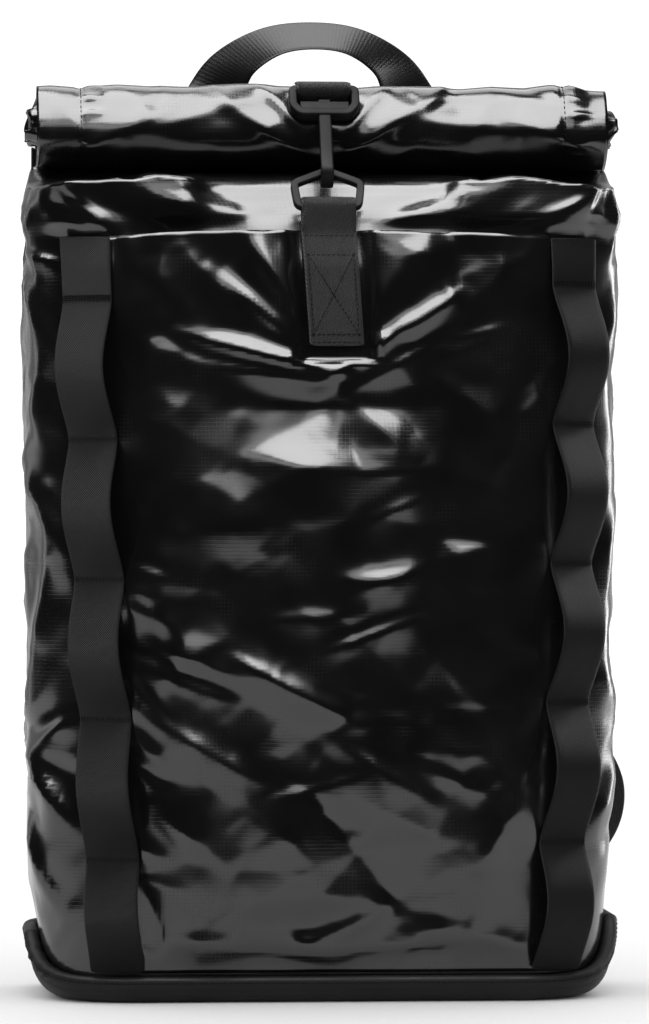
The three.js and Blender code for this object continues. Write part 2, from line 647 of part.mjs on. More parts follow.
// Stations of one shoulder piece, mirrored to its side and swung outwards where the route says so
function shoulderStations(route, shoulder, thick, count) {
  const panel = BACK.face + BACK.thick + GAP + thick / 2;
  const rows = route.map(({ x, off, z, swing = 0 }) => ({
    x: shoulder.side * (x + swing * shoulder.swing), y: panel + off, z,
  }));
  return routeCurve(rows).getPoints(count).map((at) => ({ at, across: point(1, 0, 0) }));
}

function shoulderPad(shoulder) {
  const stations = shoulderStations(PAD_ROUTE, shoulder, PAD.thick, PAD.steps);
  return mesh(`shoulder_pad_${shoulder.name}`, strap(stations, PAD.width, PAD.thick), MATT);
}

function strapTail(shoulder) {
  const stations = shoulderStations(TAIL_ROUTE, shoulder, WEBBING, TAIL.steps);
  return mesh(`strap_tail_${shoulder.name}`, strap(stations, TAIL.width, WEBBING), WOVEN);
}

const backpack = new THREE.Group();
backpack.add(
  sackWall(),
  basePanel(),
  rolledMouth(),
  frontPocket(),
  ...CHAINS.map(daisyChain),
  closureTab(),
  closureRing(),
  closureHook(),
  closureStrap(),
  grabHandle(),
  backPanel(),
  ...SHOULDERS.map(shoulderPad),
  ...SHOULDERS.map(strapTail),
);

export default backpack;
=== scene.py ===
import math

import bmesh
import bpy
import numpy as np
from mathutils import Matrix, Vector, noise
from mathutils.bvhtree import BVHTree
from mathutils.geometry import delaunay_2d_cdt


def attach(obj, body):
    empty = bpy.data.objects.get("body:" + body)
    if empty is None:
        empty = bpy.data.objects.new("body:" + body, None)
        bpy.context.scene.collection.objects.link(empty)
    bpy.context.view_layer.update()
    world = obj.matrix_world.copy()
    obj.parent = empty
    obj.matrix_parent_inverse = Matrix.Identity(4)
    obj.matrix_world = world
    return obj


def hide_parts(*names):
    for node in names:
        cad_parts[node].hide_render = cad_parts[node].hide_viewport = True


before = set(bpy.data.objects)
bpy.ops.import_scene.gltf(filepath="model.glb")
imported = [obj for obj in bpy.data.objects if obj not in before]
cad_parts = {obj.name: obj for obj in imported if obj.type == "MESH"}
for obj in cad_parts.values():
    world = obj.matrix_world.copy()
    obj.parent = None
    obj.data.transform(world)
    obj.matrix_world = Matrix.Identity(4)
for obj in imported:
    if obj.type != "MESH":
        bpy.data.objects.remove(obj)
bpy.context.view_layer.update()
mm = 0.001  # sizes are in millimetres, apart from the stage at the end

# Cloth, webbing and the clearance between pieces, as in the frame
goods = {"cloth": 1.6, "webbing": 1.5, "webbingWidth": 30, "gap": 0.3}


# Small maths

def ease(t):
    t = np.clip(t, 0, 1)
    return t * t * (3 - 2 * t)


def mix(a, b, t):
    return a + (b - a) * t


def between(value, start, end):
    # from 0 at the start to 1 at the end, whichever of them is higher
    return ease((value - start) / (end - start))


def unit(vectors):
    return vectors / np.linalg.norm(vectors, axis=-1, keepdims=True)


def together(*parts):
    # coordinates side by side along a new last axis
    return np.stack(np.broadcast_arrays(*parts), -1)


def namedRows(names, rows):
    # a table as one dictionary for each row, without the values left out
    return [{name: value for name, value in zip(names.split(), row) if value is not None} for row in rows]


def throughRows(rows, column, z):
    # cubic through one column of a table by height, that never overshoots its rows
    levels = np.array([row["z"] for row in rows], float)
    values = np.array([row[column] for row in rows], float)
    span = np.diff(levels)
    slope = np.diff(values) / span
    tangent = np.empty(len(levels))
    tangent[0] = slope[0]
    tangent[-1] = slope[-1]
    for k in range(1, len(slope)):
        product = slope[k - 1] * slope[k]
        tangent[k] = 0 if product <= 0 else 2 * product / (slope[k - 1] + slope[k])
    k = np.clip(np.searchsorted(levels, z, side="right") - 1, 0, len(span) - 1)
    t = np.clip((z - levels[k]) / span[k], 0, 1)
    u = 1 - t
    ends = u * u * (1 + 2 * t) * values[k] + t * t * (1 + 2 * u) * values[k + 1]
    return ends + span[k] * t * u * (u * tangent[k] - t * tangent[k + 1])


def throughPoints(points, count):
    # even steps of a smooth curve through a few points
    p = np.array(points, float)
    p = np.vstack([2 * p[0] - p[1], p, 2 * p[-1] - p[-2]])
    place = np.linspace(0, len(points) - 1, count)
    k = np.minimum(place.astype(int), len(points) - 2)
    t = (place - k)[:, None]
    a, b, c, d = p[k], p[k + 1], p[k + 2], p[k + 3]
    cubic = (3 * b - a - 3 * c + d) * t ** 3
    return 0.5 * (2 * b + (c - a) * t + (2 * a - 5 * b + 4 * c - d) * t ** 2 + cubic)


foldColumns = "s z lean length width rise above below bow"


def creaseRise(folds, s, z, above=0.85, below=2.4, sharpness=1.5):
    # hanging folds: a steep slope above each crest, a long one below it, faded towards both ends
    rise = np.zeros(np.broadcast(s, z).shape)
    for fold in folds:
        lean = math.radians(fold["lean"])
        along = (s - fold["s"]) * math.cos(lean) + (z - fold["z"]) * math.sin(lean)
        bow = fold.get("bow", 0) * (2 * along / fold["length"]) ** 2
        aside = (z - fold["z"]) * math.cos(lean) - (s - fold["s"]) * math.sin(lean) - bow
        slope = fold["width"] * np.where(aside > 0, fold.get("above", above), fold.get("below", below))
        fade = np.maximum(0, 1 - (2 * along / fold["length"]) ** 2)
        rise += fold["rise"] * fade * np.exp(-np.abs(aside / slope) ** sharpness)
    return rise


def crumple(s, z, size, height, seed):
    # ridges of crumpled cloth: a bent noise folded about zero
    s, z = np.broadcast_arrays(s, z)
    rise = np.empty(s.shape)
    for place in np.ndindex(s.shape):
        at = Vector((s[place] / size, z[place] / size, seed))
        bend = Vector((noise.noise(at * 0.6), noise.noise(at * 0.6 + Vector((9, 4, 2))), 0))
        rise[place] = 1 - abs(noise.noise(at + bend * 0.9)) * 2
    return height * rise


def facetNet(size, height, reach, seed):
    # flat facets between sharp creases: points strewn on a plane, each at its own height
    dice = np.random.default_rng(seed)
    steps = np.arange(-reach, reach, size)
    places = np.stack(np.meshgrid(steps, steps), -1).reshape(-1, 2)
    places = places + dice.uniform(-0.45 * size, 0.45 * size, places.shape)
    heights = dice.uniform(-height, height, len(places))
    corners, _, faces, sources, _, _ = delaunay_2d_cdt([Vector(place) for place in places], [], [], 0, 1e-5)
    raised = [Vector((corner.x, corner.y, heights[source[0]])) for corner, source in zip(corners, sources)]
    return BVHTree.FromPolygons(raised, faces)


def facets(net, s, z):
    s, z = np.broadcast_arrays(s, z)
    rise = np.zeros(s.shape)
    for place in np.ndindex(s.shape):
        hit = net.ray_cast(Vector((s[place], z[place], 100)), Vector((0, 0, -1)))[0]
        if hit is not None:
            rise[place] = hit.z
    return rise


# Making meshes

def newObject(name, mesh):
    obj = bpy.data.objects.new(name, mesh)
    bpy.context.scene.collection.objects.link(obj)
    return obj


def gridObject(name, points, uv, closed=False, caps=False):
    # a sheet of quads over rows of points, with its pattern laid out in metres
    rows, columns = points.shape[:2]
    index = np.arange(rows * columns).reshape(rows, columns)
    if closed:
        index = np.hstack([index, index[:, :1]])
    faces = np.stack([index[:-1, :-1], index[:-1, 1:], index[1:, 1:], index[1:, :-1]], -1).reshape(-1, 4)
    corners = np.stack([uv[:-1, :-1], uv[:-1, 1:], uv[1:, 1:], uv[1:, :-1]], 2).reshape(-1, 2)
    allFaces = faces.tolist()
    if caps:
        ends = [index[0, :-1][::-1], index[-1, :-1]]
        allFaces += [end.tolist() for end in ends]
        corners = np.vstack([corners, np.zeros((2 * columns, 2))])
    mesh = bpy.data.meshes.new(name)
    mesh.from_pydata((points.reshape(-1, 3) * mm).tolist(), [], allFaces)
    mesh.uv_layers.new(name="pattern").data.foreach_set("uv", (corners * mm).ravel())
    mesh.shade_smooth()
    return newObject(name, mesh)


def runLength(points):
    steps = np.linalg.norm(np.diff(points, axis=0), axis=-1)
    return np.concatenate([[0], np.cumsum(steps)])


def thicken(obj, thickness):
    wall = obj.modifiers.new("wall", "SOLIDIFY")
    wall.thickness = thickness * mm
    wall.offset = -1


def rounded(obj, levels=1):
    smoother = obj.modifiers.new("smooth", "SUBSURF")
    smoother.levels = levels
    smoother.render_levels = levels
    return obj


def applyAll(obj):
    mesh = bpy.data.meshes.new_from_object(obj.evaluated_get(bpy.context.evaluated_depsgraph_get()))
    mesh.name = obj.name
    obj.modifiers.clear()
    obj.data = mesh


def sectionsAlong(path, first, second, profile):
    # one section's points at every station of a path
    return path[:, None] + first[:, None] * profile[None, :, :1] + second[:, None] * profile[None, :, 1:]


def webbingStrap(name, centres, across, width, thick=goods["webbing"], lanes=10):
    # one length of webbing with rounded selvedges
    along = unit(np.gradient(centres, axis=0))
    facing = unit(np.cross(across, along))
    flat = np.linspace(-1, 1, lanes) * (width / 2 - thick / 2)
    profile = [(w, thick / 2) for w in flat] + [(width / 2, 0)]
    profile += [(w, -thick / 2) for w in flat[::-1]] + [(-width / 2, 0)]
    profile = np.array(profile)
    points = sectionsAlong(centres, across, facing, profile)
    around = runLength(np.vstack([profile, profile[:1]]))
    uv = np.stack(np.meshgrid(around - around[lanes - 1] / 2, runLength(centres)), -1)
    return rounded(gridObject(name, points, uv, closed=True, caps=True))


def sweptBar(name, path, profile, sideways, closed):
    # a bar of one section along a path, with sideways as the section's first direction
    if closed:
        along = unit(np.roll(path, -1, 0) - np.roll(path, 1, 0))
    else:
        along = unit(np.gradient(path, axis=0))
    first = np.broadcast_to(np.array(sideways, float), path.shape)
    second = unit(np.cross(along, first))
    first = unit(np.cross(second, along))
    points = sectionsAlong(path, first, second, profile)
    if closed:
        points = np.concatenate([points, points[:1]])
    uv = np.zeros((points.shape[0], points.shape[1] + 1, 2))
    obj = gridObject(name, points, uv, closed=True, caps=not closed)
    cleaned = bmesh.new()
    cleaned.from_mesh(obj.data)
    bmesh.ops.remove_doubles(cleaned, verts=cleaned.verts, dist=1e-7)
    bmesh.ops.recalc_face_normals(cleaned, faces=cleaned.faces)
    cleaned.to_mesh(obj.data)
    cleaned.free()
    return obj


def roundedSection(width, thick, corner, steps=3):
    # a rectangle with rounded corners, as a loop of points
    centres = [(1, 1, 0), (-1, 1, 90), (-1, -1, 180), (1, -1, 270)]
    loop = []
    for x, y, start in centres:
        for k in range(steps + 1):
            angle = math.radians(start + 90 * k / steps)
            loop.append((x * (width / 2 - corner) + corner * math.cos(angle),
                         y * (thick / 2 - corner) + corner * math.sin(angle)))
    return np.array(loop)


def filleted(corners, radius, steps=5):
    # a closed outline with every corner rounded off
    corners = np.array(corners, float)
    path = []
    for k, corner in enumerate(corners):
        before = unit(corners[k - 1] - corner)
        after = unit(corners[(k + 1) % len(corners)] - corner)
        for t in np.linspace(0, 1, steps):
            start = corner + before * radius
            end = corner + after * radius
            path.append((1 - t) ** 2 * start + 2 * t * (1 - t) * corner + t * t * end)
    return np.array(path)


# Materials

def newMaterial(name, color, roughness, specular=0.5):
    material = bpy.data.materials.new(name)
    material.use_nodes = True
    shader = material.node_tree.nodes["Principled BSDF"]
    shader.inputs["Base Color"].default_value = (*color, 1)
    shader.inputs["Roughness"].default_value = roughness
    shader.inputs["Specular IOR Level"].default_value = specular
    return material, shader


def addNode(owner, kind, **settings):
    node = owner.node_tree.nodes.new(kind)
    for key, value in settings.items():
        setattr(node, key, value)
    return node


def wire(owner, source, target):
    owner.node_tree.links.new(source, target)


def mathNode(material, operation, first, second=None):
    node = addNode(material, "ShaderNodeMath", operation=operation)
    for socket, value in zip(node.inputs, (first, second)):
        if isinstance(value, (int, float)):
            socket.default_value = value
        elif value is not None:
            wire(material, value, socket)
    return node.outputs[0]


def addShare(material, height, other, share):
    return mathNode(material, "ADD", height, mathNode(material, "MULTIPLY", other, share))


def ramp(material, factor, low, high, fromMin, fromMax):
    node = addNode(material, "ShaderNodeMapRange")
    for key, value in (("From Min", fromMin), ("From Max", fromMax), ("To Min", low), ("To Max", high)):
        node.inputs[key].default_value = value
    wire(material, factor, node.inputs["Value"])
    return node.outputs["Result"]


def noiseField(material, coordinates, scale, detail=3.0):
    node = addNode(material, "ShaderNodeTexNoise")
    node.inputs["Scale"].default_value = scale
    node.inputs["Detail"].default_value = detail
    wire(material, coordinates, node.inputs["Vector"])
    return node.outputs["Fac"]


def addBump(material, shader, height, distance, strength):
    node = addNode(material, "ShaderNodeBump")
    node.inputs["Distance"].default_value = distance * mm
    node.inputs["Strength"].default_value = strength
    wire(material, height, node.inputs["Height"])
    wire(material, node.outputs["Normal"], shader.inputs["Normal"])


def addTint(material, shader, factor, low, high):
    node = addNode(material, "ShaderNodeMix", data_type="RGBA")
    node.inputs["A"].default_value = (*low, 1)
    node.inputs["B"].default_value = (*high, 1)
    wire(material, factor, node.inputs["Factor"])
    wire(material, node.outputs["Result"], shader.inputs["Base Color"])


def patternAxes(material):
    coordinates = addNode(material, "ShaderNodeTexCoord")
    split = addNode(material, "ShaderNodeSeparateXYZ")
    wire(material, coordinates.outputs["UV"], split.inputs[0])
    return split.outputs["X"], split.outputs["Y"], coordinates


ripstop = {"grid": 2.1, "thread": 0.3, "color": (0.0025, 0.0025, 0.0028), "roughness": (0.15, 0.26),
           "specular": 0.8, "weave": 2600, "weaveDepth": 0.5, "bump": 0.04, "strength": 0.25, "uneven": 24,
           "roughThread": 0.05}


def ripstopCloth():
    # glossy coated cloth: a square grid of thicker threads, a fine weave and slightly uneven gloss
    gloss = ripstop["roughness"]
    material, shader = newMaterial("coatedRipstop", ripstop["color"], gloss[0], ripstop["specular"])
    u, v, coordinates = patternAxes(material)
    lines = []
    for axis in (u, v):
        cell = mathNode(material, "PINGPONG", axis, ripstop["grid"] / 2 * mm)
        lines.append(ramp(material, cell, 1, 0, 0, ripstop["thread"] * mm))
    grid = mathNode(material, "MAXIMUM", *lines)
    weave = noiseField(material, coordinates.outputs["UV"], ripstop["weave"], 2)
    height = addShare(material, grid, weave, ripstop["weaveDepth"])
    addBump(material, shader, height, ripstop["bump"], ripstop["strength"])
    uneven = noiseField(material, coordinates.outputs["Object"], ripstop["uneven"])
    rough = ramp(material, uneven, *gloss, fromMin=0.35, fromMax=0.7)
    wire(material, addShare(material, rough, grid, ripstop["roughThread"]), shader.inputs["Roughness"])
    return material


# the webbing's colour runs from the dark base in the grooves to a paler colour on the raised threads:
# painted highlight and painted shade on the weave
twill = {"color": (0.0008, 0.0008, 0.001), "pick": 0.28, "pickDepth": 0.35, "fuzz": 520, "fuzzDepth": 0.45,
         "reliefShading": 0.55, "strength": 0.9}


def twillWebbing(name, rib, slope, worn, roughness, specular, depth):
    # matt woven webbing: slanting ribs crossed by fine picks, painted a little paler where it stands proud
    # and darker in its grooves, as painted light and shade on the weave's relief
    material, shader = newMaterial(name, twill["color"], roughness, specular)
    u, v, coordinates = patternAxes(material)
    slant = addShare(material, v, u, slope)
    ribs = mathNode(material, "PINGPONG", slant, rib / 2 * mm)
    ribs = ramp(material, ribs, 0, 1, 0, rib / 2 * mm)
    picks = mathNode(material, "PINGPONG", v, twill["pick"] * mm)
    picks = ramp(material, picks, 0, 1, 0, twill["pick"] * mm)
    fuzz = noiseField(material, coordinates.outputs["Object"], twill["fuzz"], 2)
    height = addShare(material, ribs, picks, twill["pickDepth"])
    height = addShare(material, height, fuzz, twill["fuzzDepth"])
    addBump(material, shader, height, depth, twill["strength"])
    # painted highlight on the raised threads and painted shade in the grooves, set by the weave's height
    litRelief = mathNode(material, "MULTIPLY", height, twill["reliefShading"])
    addTint(material, shader, litRelief, twill["color"], (worn, worn, 1.1 * worn))
    return material


matt = {"specular": 0.2, "strength": 0.6, "uneven": 40, "glossier": 0.08, "duller": 0.1}


def mattCoating(name, color, roughness, grain, depth):
    # matt coated cloth with a fine pebble and slightly uneven gloss
    material, shader = newMaterial(name, color, roughness, matt["specular"])
    coordinates = addNode(material, "ShaderNodeTexCoord")
    pebble = addNode(material, "ShaderNodeTexVoronoi")
    pebble.inputs["Scale"].default_value = 1000 / grain
    wire(material, coordinates.outputs["Object"], pebble.inputs["Vector"])
    addBump(material, shader, pebble.outputs["Distance"], depth, matt["strength"])
    uneven = noiseField(material, coordinates.outputs["Object"], matt["uneven"])
    limits = (roughness - matt["glossier"], roughness + matt["duller"])
    wire(material, ramp(material, uneven, *limits, fromMin=0.3, fromMax=0.7), shader.inputs["Roughness"])
    return material


coating = {"color": (0.004, 0.004, 0.0045), "rubbed": (0.012, 0.012, 0.013), "roughness": (0.5, 0.4),
           "specular": 0.1, "grain": 1500, "bump": 0.05, "strength": 0.35, "rubbing": 70}


def coatedMetal():
    # satin black coating, rubbed a little paler by handling
    gloss = coating["roughness"]
    material, shader = newMaterial("coatedMetal", coating["rubbed"], gloss[1], coating["specular"])
    coordinates = addNode(material, "ShaderNodeTexCoord")
    grain = noiseField(material, coordinates.outputs["Object"], coating["grain"], 2)
    addBump(material, shader, grain, coating["bump"], coating["strength"])
    rubbing = noiseField(material, coordinates.outputs["Object"], coating["rubbing"], 4)
    worn = ramp(material, rubbing, 0, 1, fromMin=0.4, fromMax=0.75)
    addTint(material, shader, worn, coating["color"], coating["rubbed"])
    rough = ramp(material, rubbing, *gloss, fromMin=0.4, fromMax=0.75)
    wire(material, rough, shader.inputs["Roughness"])
    return material


sewing = {"color": (0.002, 0.002, 0.0022), "roughness": 0.6, "specular": 0.1, "twist": 2500, "bump": 0.08,
          "strength": 0.5}


def sewingThread():
    material, shader = newMaterial("sewingThread", sewing["color"], sewing["roughness"], sewing["specular"])
    coordinates = addNode(material, "ShaderNodeTexCoord")
    twist = noiseField(material, coordinates.outputs["Object"], sewing["twist"], 1)
    addBump(material, shader, twist, sewing["bump"], sewing["strength"])
    return material


ripstopLook = ripstopCloth()
# the fourth column is the paler colour painted on the raised threads, a painted highlight on the weave
webbings = namedRows("name rib slope worn roughness specular depth", [
    ("twillWebbing", 2.5, 2.5, 0.026, 0.5, 0.36, 0.4),
    ("chainWebbing", 1.3, 1.2, 0.008, 0.5, 0.19, 0.4),
    ("ribbedWebbing", 2.0, 0.0, 0.004, 0.32, 0.2, 0.05),
])
webbingLook, chainLook, handleLook = (twillWebbing(**row) for row in webbings)
baseLook = mattCoating("mattBase", (0.007, 0.007, 0.0075), roughness=0.55, grain=0.7, depth=0.08)
paddingLook = mattCoating("spacerMesh", (0.008, 0.008, 0.009), roughness=0.7, grain=2.2, depth=0.5)
metalLook = coatedMetal()
threadLook = sewingThread()
print("materials made")


def finishPiece(obj, look, nodes):
    if obj.modifiers:
        applyAll(obj)
    obj.data.materials.clear()
    obj.data.materials.append(look)
    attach(obj, "root")
    if nodes:
        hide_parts(*nodes)
    return obj


def clothPiece(name, points, uv, wall, node, closed=False):
    obj = gridObject(name, points, uv, closed)
    thicken(obj, wall)
    return finishPiece(obj, ripstopLook, [node])


def strapPiece(name, look, node, centres, across, width):
    # one strap and its flat size
    obj = finishPiece(webbingStrap(name, centres, across, width), look, [node])
    return obj, (width * mm, runLength(centres)[-1] * mm)


# Stitches: short threads set along the edges of a drawn line

def stitchTree():
    tree = bpy.data.node_groups.new("stitchRow", "GeometryNodeTree")
    face = tree.interface
    face.new_socket("Geometry", in_out="INPUT", socket_type="NodeSocketGeometry")
    for label in ("Pitch", "Stitch length", "Thread radius"):
        face.new_socket(label, in_out="INPUT", socket_type="NodeSocketFloat")
    face.new_socket("Thread", in_out="INPUT", socket_type="NodeSocketMaterial")
    face.new_socket("Geometry", in_out="OUTPUT", socket_type="NodeSocketGeometry")
    make = tree.nodes.new
    given = make("NodeGroupInput")
    made = make("NodeGroupOutput")
    line = make("GeometryNodeMeshToCurve")
    spaced = make("GeometryNodeResampleCurve")
    spaced.mode = "LENGTH"
    tangent = make("GeometryNodeInputTangent")
    turned = make("FunctionNodeAlignRotationToVector")
    turned.axis = "X"
    bead = make("GeometryNodeMeshUVSphere")
    bead.inputs["Segments"].default_value = 6
    bead.inputs["Rings"].default_value = 4
    bead.inputs["Radius"].default_value = 1
    shape = make("ShaderNodeCombineXYZ")
    half = make("ShaderNodeMath")
    half.operation = "MULTIPLY"
    half.inputs[1].default_value = 0.5
    placed = make("GeometryNodeInstanceOnPoints")
    real = make("GeometryNodeRealizeInstances")
    colored = make("GeometryNodeSetMaterial")
    wires = [
        (given, "Geometry", line, "Mesh"),
        (line, "Curve", spaced, "Curve"),
        (given, "Pitch", spaced, "Length"),
        (tangent, "Tangent", turned, "Vector"),
        (given, "Stitch length", half, 0),
        (half, 0, shape, "X"),
        (given, "Thread radius", shape, "Y"),
        (given, "Thread radius", shape, "Z"),
        (spaced, "Curve", placed, "Points"),
        (bead, "Mesh", placed, "Instance"),
        (turned, "Rotation", placed, "Rotation"),
        (shape, "Vector", placed, "Scale"),
        (placed, "Instances", real, "Geometry"),
        (real, "Geometry", colored, "Geometry"),
        (given, "Thread", colored, "Material"),
        (colored, "Geometry", made, "Geometry"),
    ]
    for source, output, target, entry in wires:
        tree.links.new(source.outputs[output], target.inputs[entry])
    return tree


stitchRow = stitchTree()


def stitching(name, lines, pitch, length, radius):
    points = []
    edges = []
    for line in lines:
        start = len(points)
        points += [tuple(p * mm) for p in np.array(line, float)]
        edges += [(start + k, start + k + 1) for k in range(len(line) - 1)]
    mesh = bpy.data.meshes.new(name)
    mesh.from_pydata(points, edges, [])
    obj = newObject(name, mesh)
    rows = obj.modifiers.new("stitches", "NODES")
    rows.node_group = stitchRow
    entries = [item for item in stitchRow.interface.items_tree if item.in_out == "INPUT"]
    values = {"Pitch": pitch * mm, "Stitch length": length * mm, "Thread radius": radius * mm,
              "Thread": threadLook}
    for entry in entries:
        if entry.name in values:
            rows[entry.identifier] = values[entry.name]
    applyAll(obj)
    obj.data.shade_smooth()
    finishPiece(obj, threadLook, ())


# The sack: one wall of coated cloth from the base to the neck

sackRows = namedRows("z halfWidth front back frontCorner backCorner gusset", [
    (4, 150, -62, 66, 42, 20, 0),
    (36, 155, -66, 67, 50, 22, 0),
    (95, 159, -70, 68, 60, 24, 0),
    (210, 160, -72, 68, 68, 26, 0),
    (330, 161, -71, 68, 68, 26, 0),
    (395, 163, -68, 68, 62, 26, 8),
    (410, 163, -63.5, 67.5, 57, 25, 14),
    (422, 163, -58, 66, 50, 24, 18),
    (436, 162, -41, 55, 32, 20, 18),
    (446, 161, -20, 36, 19, 13, 9),
    (452, 160, -3, 17, 7.5, 7, 3),
    (455, 159, 3, 9.2, 3, 3, 0),
    (466, 159, 3, 9.2, 3, 3, 0),
])
rim = {"front": 13, "right": 42, "back": 36, "left": 35, "rise": 4}
base = {"lap": 6, "wall": 5.5, "cloth": 1.2, "sideInset": 14, "frontInset": 4, "curveSteps": 12,
        "floorRings": (0.02, 0.3, 0.65, 0.98)}
bead = {"out": 8, "crown": 4, "rise": 1.5, "drop": 2.5, "tuck": 1.6, "sink": 1.4, "flat": 0.7,
        "arc": (-20, 200, 9), "seamLift": 0.1}
gather = {"pitch": 7.5, "rise": 0.9, "seamDrop": 2.2, "limits": (6, 18)}
gatherPlaces = namedRows("s reach share", [(-165, 34, 1), (150, 30, 0.5)])

# straights and corners seen from above, counter-clockwise
outlineRuns = [
    ("front", 0, -90, 0, 40, "front", "front"),
    ("frontCorner", 1, -90, 90, 24, "front", "right"),
    ("side", 1, 0, 0, 20, "right", "right"),
    ("backCorner", 1, 0, 90, 8, "right", "back"),
    ("back", 0, 90, 0, 16, "back", "back"),
    ("backCorner", -1, 90, 90, 8, "back", "left"),
    ("side", -1, 180, 0, 20, "left", "left"),
    ("frontCorner", -1, 180, 90, 24, "left", "front"),
]


def outlineColumns():
    columns = {"run": [], "side": [], "t": [], "normal": [], "rim": []}
    for run, side, start, turn, steps, fromRim, toRim in outlineRuns:
        endsAtSide = (side > 0) == (run == "frontCorner")
        away, atSide = (fromRim, toRim) if endsAtSide else (toRim, fromRim)
        for k in range(steps):
            t = k / steps
            near = t if endsAtSide else 1 - t
            columns["run"].append(run)
            columns["side"].append(side)
            columns["t"].append(t)
            columns["normal"].append(math.radians(start + turn * t))
            columns["rim"].append(mix(rim[away], rim[atSide], near ** rim["rise"]))
    return {key: np.array(values) for key, values in columns.items()}


columns = outlineColumns()
outward = together(np.cos(columns["normal"]), np.sin(columns["normal"]), 0.0)


def sackOutline(z):
    section = {key: throughRows(sackRows, key, z) for key in sackRows[0]}
    run, side, t, normal = (columns[key] for key in ("run", "side", "t", "normal"))
    half = section["halfWidth"]
    frontMiddle = section["front"] + section["frontCorner"]
    backMiddle = section["back"] - section["backCorner"]
    fromFront = np.where(side > 0, t, 1 - t)
    isFrontCorner = run == "frontCorner"
    radius = np.where(isFrontCorner, section["frontCorner"], section["backCorner"])
    cornerX = side * (half - radius) + radius * np.cos(normal)
    cornerY = np.where(isFrontCorner, frontMiddle, backMiddle) + radius * np.sin(normal)
    sideX = side * (half - section["gusset"] * np.sin(math.pi * fromFront))
    choices = [run == "front", run == "back", run == "side"]
    frontX = (2 * t - 1) * (half - section["frontCorner"])
    backX = (1 - 2 * t) * (half - section["backCorner"])
    sideY = mix(frontMiddle, backMiddle, fromFront)
    x = np.select(choices, [frontX, backX, sideX], cornerX)
    y = np.select(choices, [section["front"], section["back"], sideY], cornerY)
    return together(x, y, z)


# each pair of limits: where the wall can't crease, and where nothing holds it any more
sack = {"rows": 130, "shoulder": 400, "shoulderRows": 56, "wall": 0.8, "girthAt": 210.0, "crumple": 1.7,
        "shoulderCrumple": 2.6, "shoulderSink": 0.6, "shoulderLimits": (404, 434), "aside": (70, 110),
        "overPocket": (417, 427), "offBase": (4, 44), "neck": (453, 427), "back": (60, 46),
        "panel": (133, 141), "panelShare": 0.5, "chain": (-20, -40), "chainShare": 0.85}


def outlineLengths():
    ring = sackOutline(np.full(len(columns["t"]), sack["girthAt"]))
    steps = np.linalg.norm(np.roll(ring, -1, 0) - ring, axis=-1)
    return ring[0, 0] + np.concatenate([[0], np.cumsum(steps)])


columnPlace = outlineLengths()
girth = columnPlace[-1] - columnPlace[0]
wrapped = np.where(columnPlace[:-1] > girth / 2, columnPlace[:-1] - girth, columnPlace[:-1])

sackNets = [
    facetNet(size=24, height=2.0, reach=480, seed=3),
    facetNet(size=11, height=0.5, reach=480, seed=4),
]
# how far the loose cloth under the roll hangs forwards, beside the ring and towards the ends
shoulderPush = namedRows("z beside ends", [
    (414, 0, 0),
    (422, 1, 4),
    (430, 4.5, 14.5),
    (438, 11.5, 28),
    (444, 20, 40.5),
    (447, 23, 46),
    (449, 20, 42),
    (450.5, 14, 26),
    (452, 7, 9),
    (455, 0, 0),
])
shoulderSpan = {"ends": (58, 84), "corner": (112, 160), "front": (0, -10), "wave": 5, "waveSize": 34,
                "waveStretch": 0.2, "droop": 5, "wallAt": 414.0, "overhang": 0.5}
sackFolds = namedRows(foldColumns, [
    (-158, 403, -14, 46, 4, 4.5),
    (-172, 420, 72, 44, 4, 3.5),
    (163, 424, -74, 50, 4, 4.5),
    (-112, 428, -24, 50, 6, 3),
    (104, 431, 20, 54, 6, 3),
    (-42, 431, -38, 40, 5, 3.5),
    (46, 433, 30, 52, 5, 3.5),
    (-164, 372, -52, 84, 6, 5),
    (-176, 318, 62, 96, 7, 3.5),
    (-158, 262, -48, 78, 6, 5.5),
    (-176, 190, 70, 120, 7, 3.5),
    (-150, 148, 24, 60, 5, 4.5),
    (-158, 116, -44, 84, 6, 6),
    (-168, 76, -56, 70, 6, 5),
    (160, 366, 58, 80, 7, 3.5),
    (178, 296, -74, 110, 9, 3),
    (164, 246, 50, 84, 7, 4),
    (178, 168, -76, 150, 9, 3),
    (160, 104, 44, 76, 7, 4),
])


# the chains of webbing loops that are sewn to the sack
chains = {
    "left": {"side": -1, "topX": 130, "footX": 113, "bow": 0, "firstTack": 379.5},
    "right": {"side": 1, "topX": 133, "footX": 123, "bow": 2.5, "firstTack": 388},
}
chain = {"top": 414, "foot": 16, "pitch": 75.4, "tacks": 5, "steps": 26, "standOff": 13, "arch": 1.4,
         "pocketLap": 8, "margin": 4, "hold": 19, "holdAbove": 8}


def chainX(strap, z):
    t = (z - chain["foot"]) / (chain["top"] - chain["foot"])
    return strap["side"] * (mix(strap["footX"], strap["topX"], t) + strap["bow"] * np.sin(math.pi * t))


def heldFlat(x, z):
    # where a chain holds the cloth flat
    near = sum(np.exp(-((x - chainX(strap, z)) / chain["hold"]) ** 4) for strap in chains.values())
    return near * (1 - between(z, chain["top"], chain["top"] + chain["holdAbove"]))


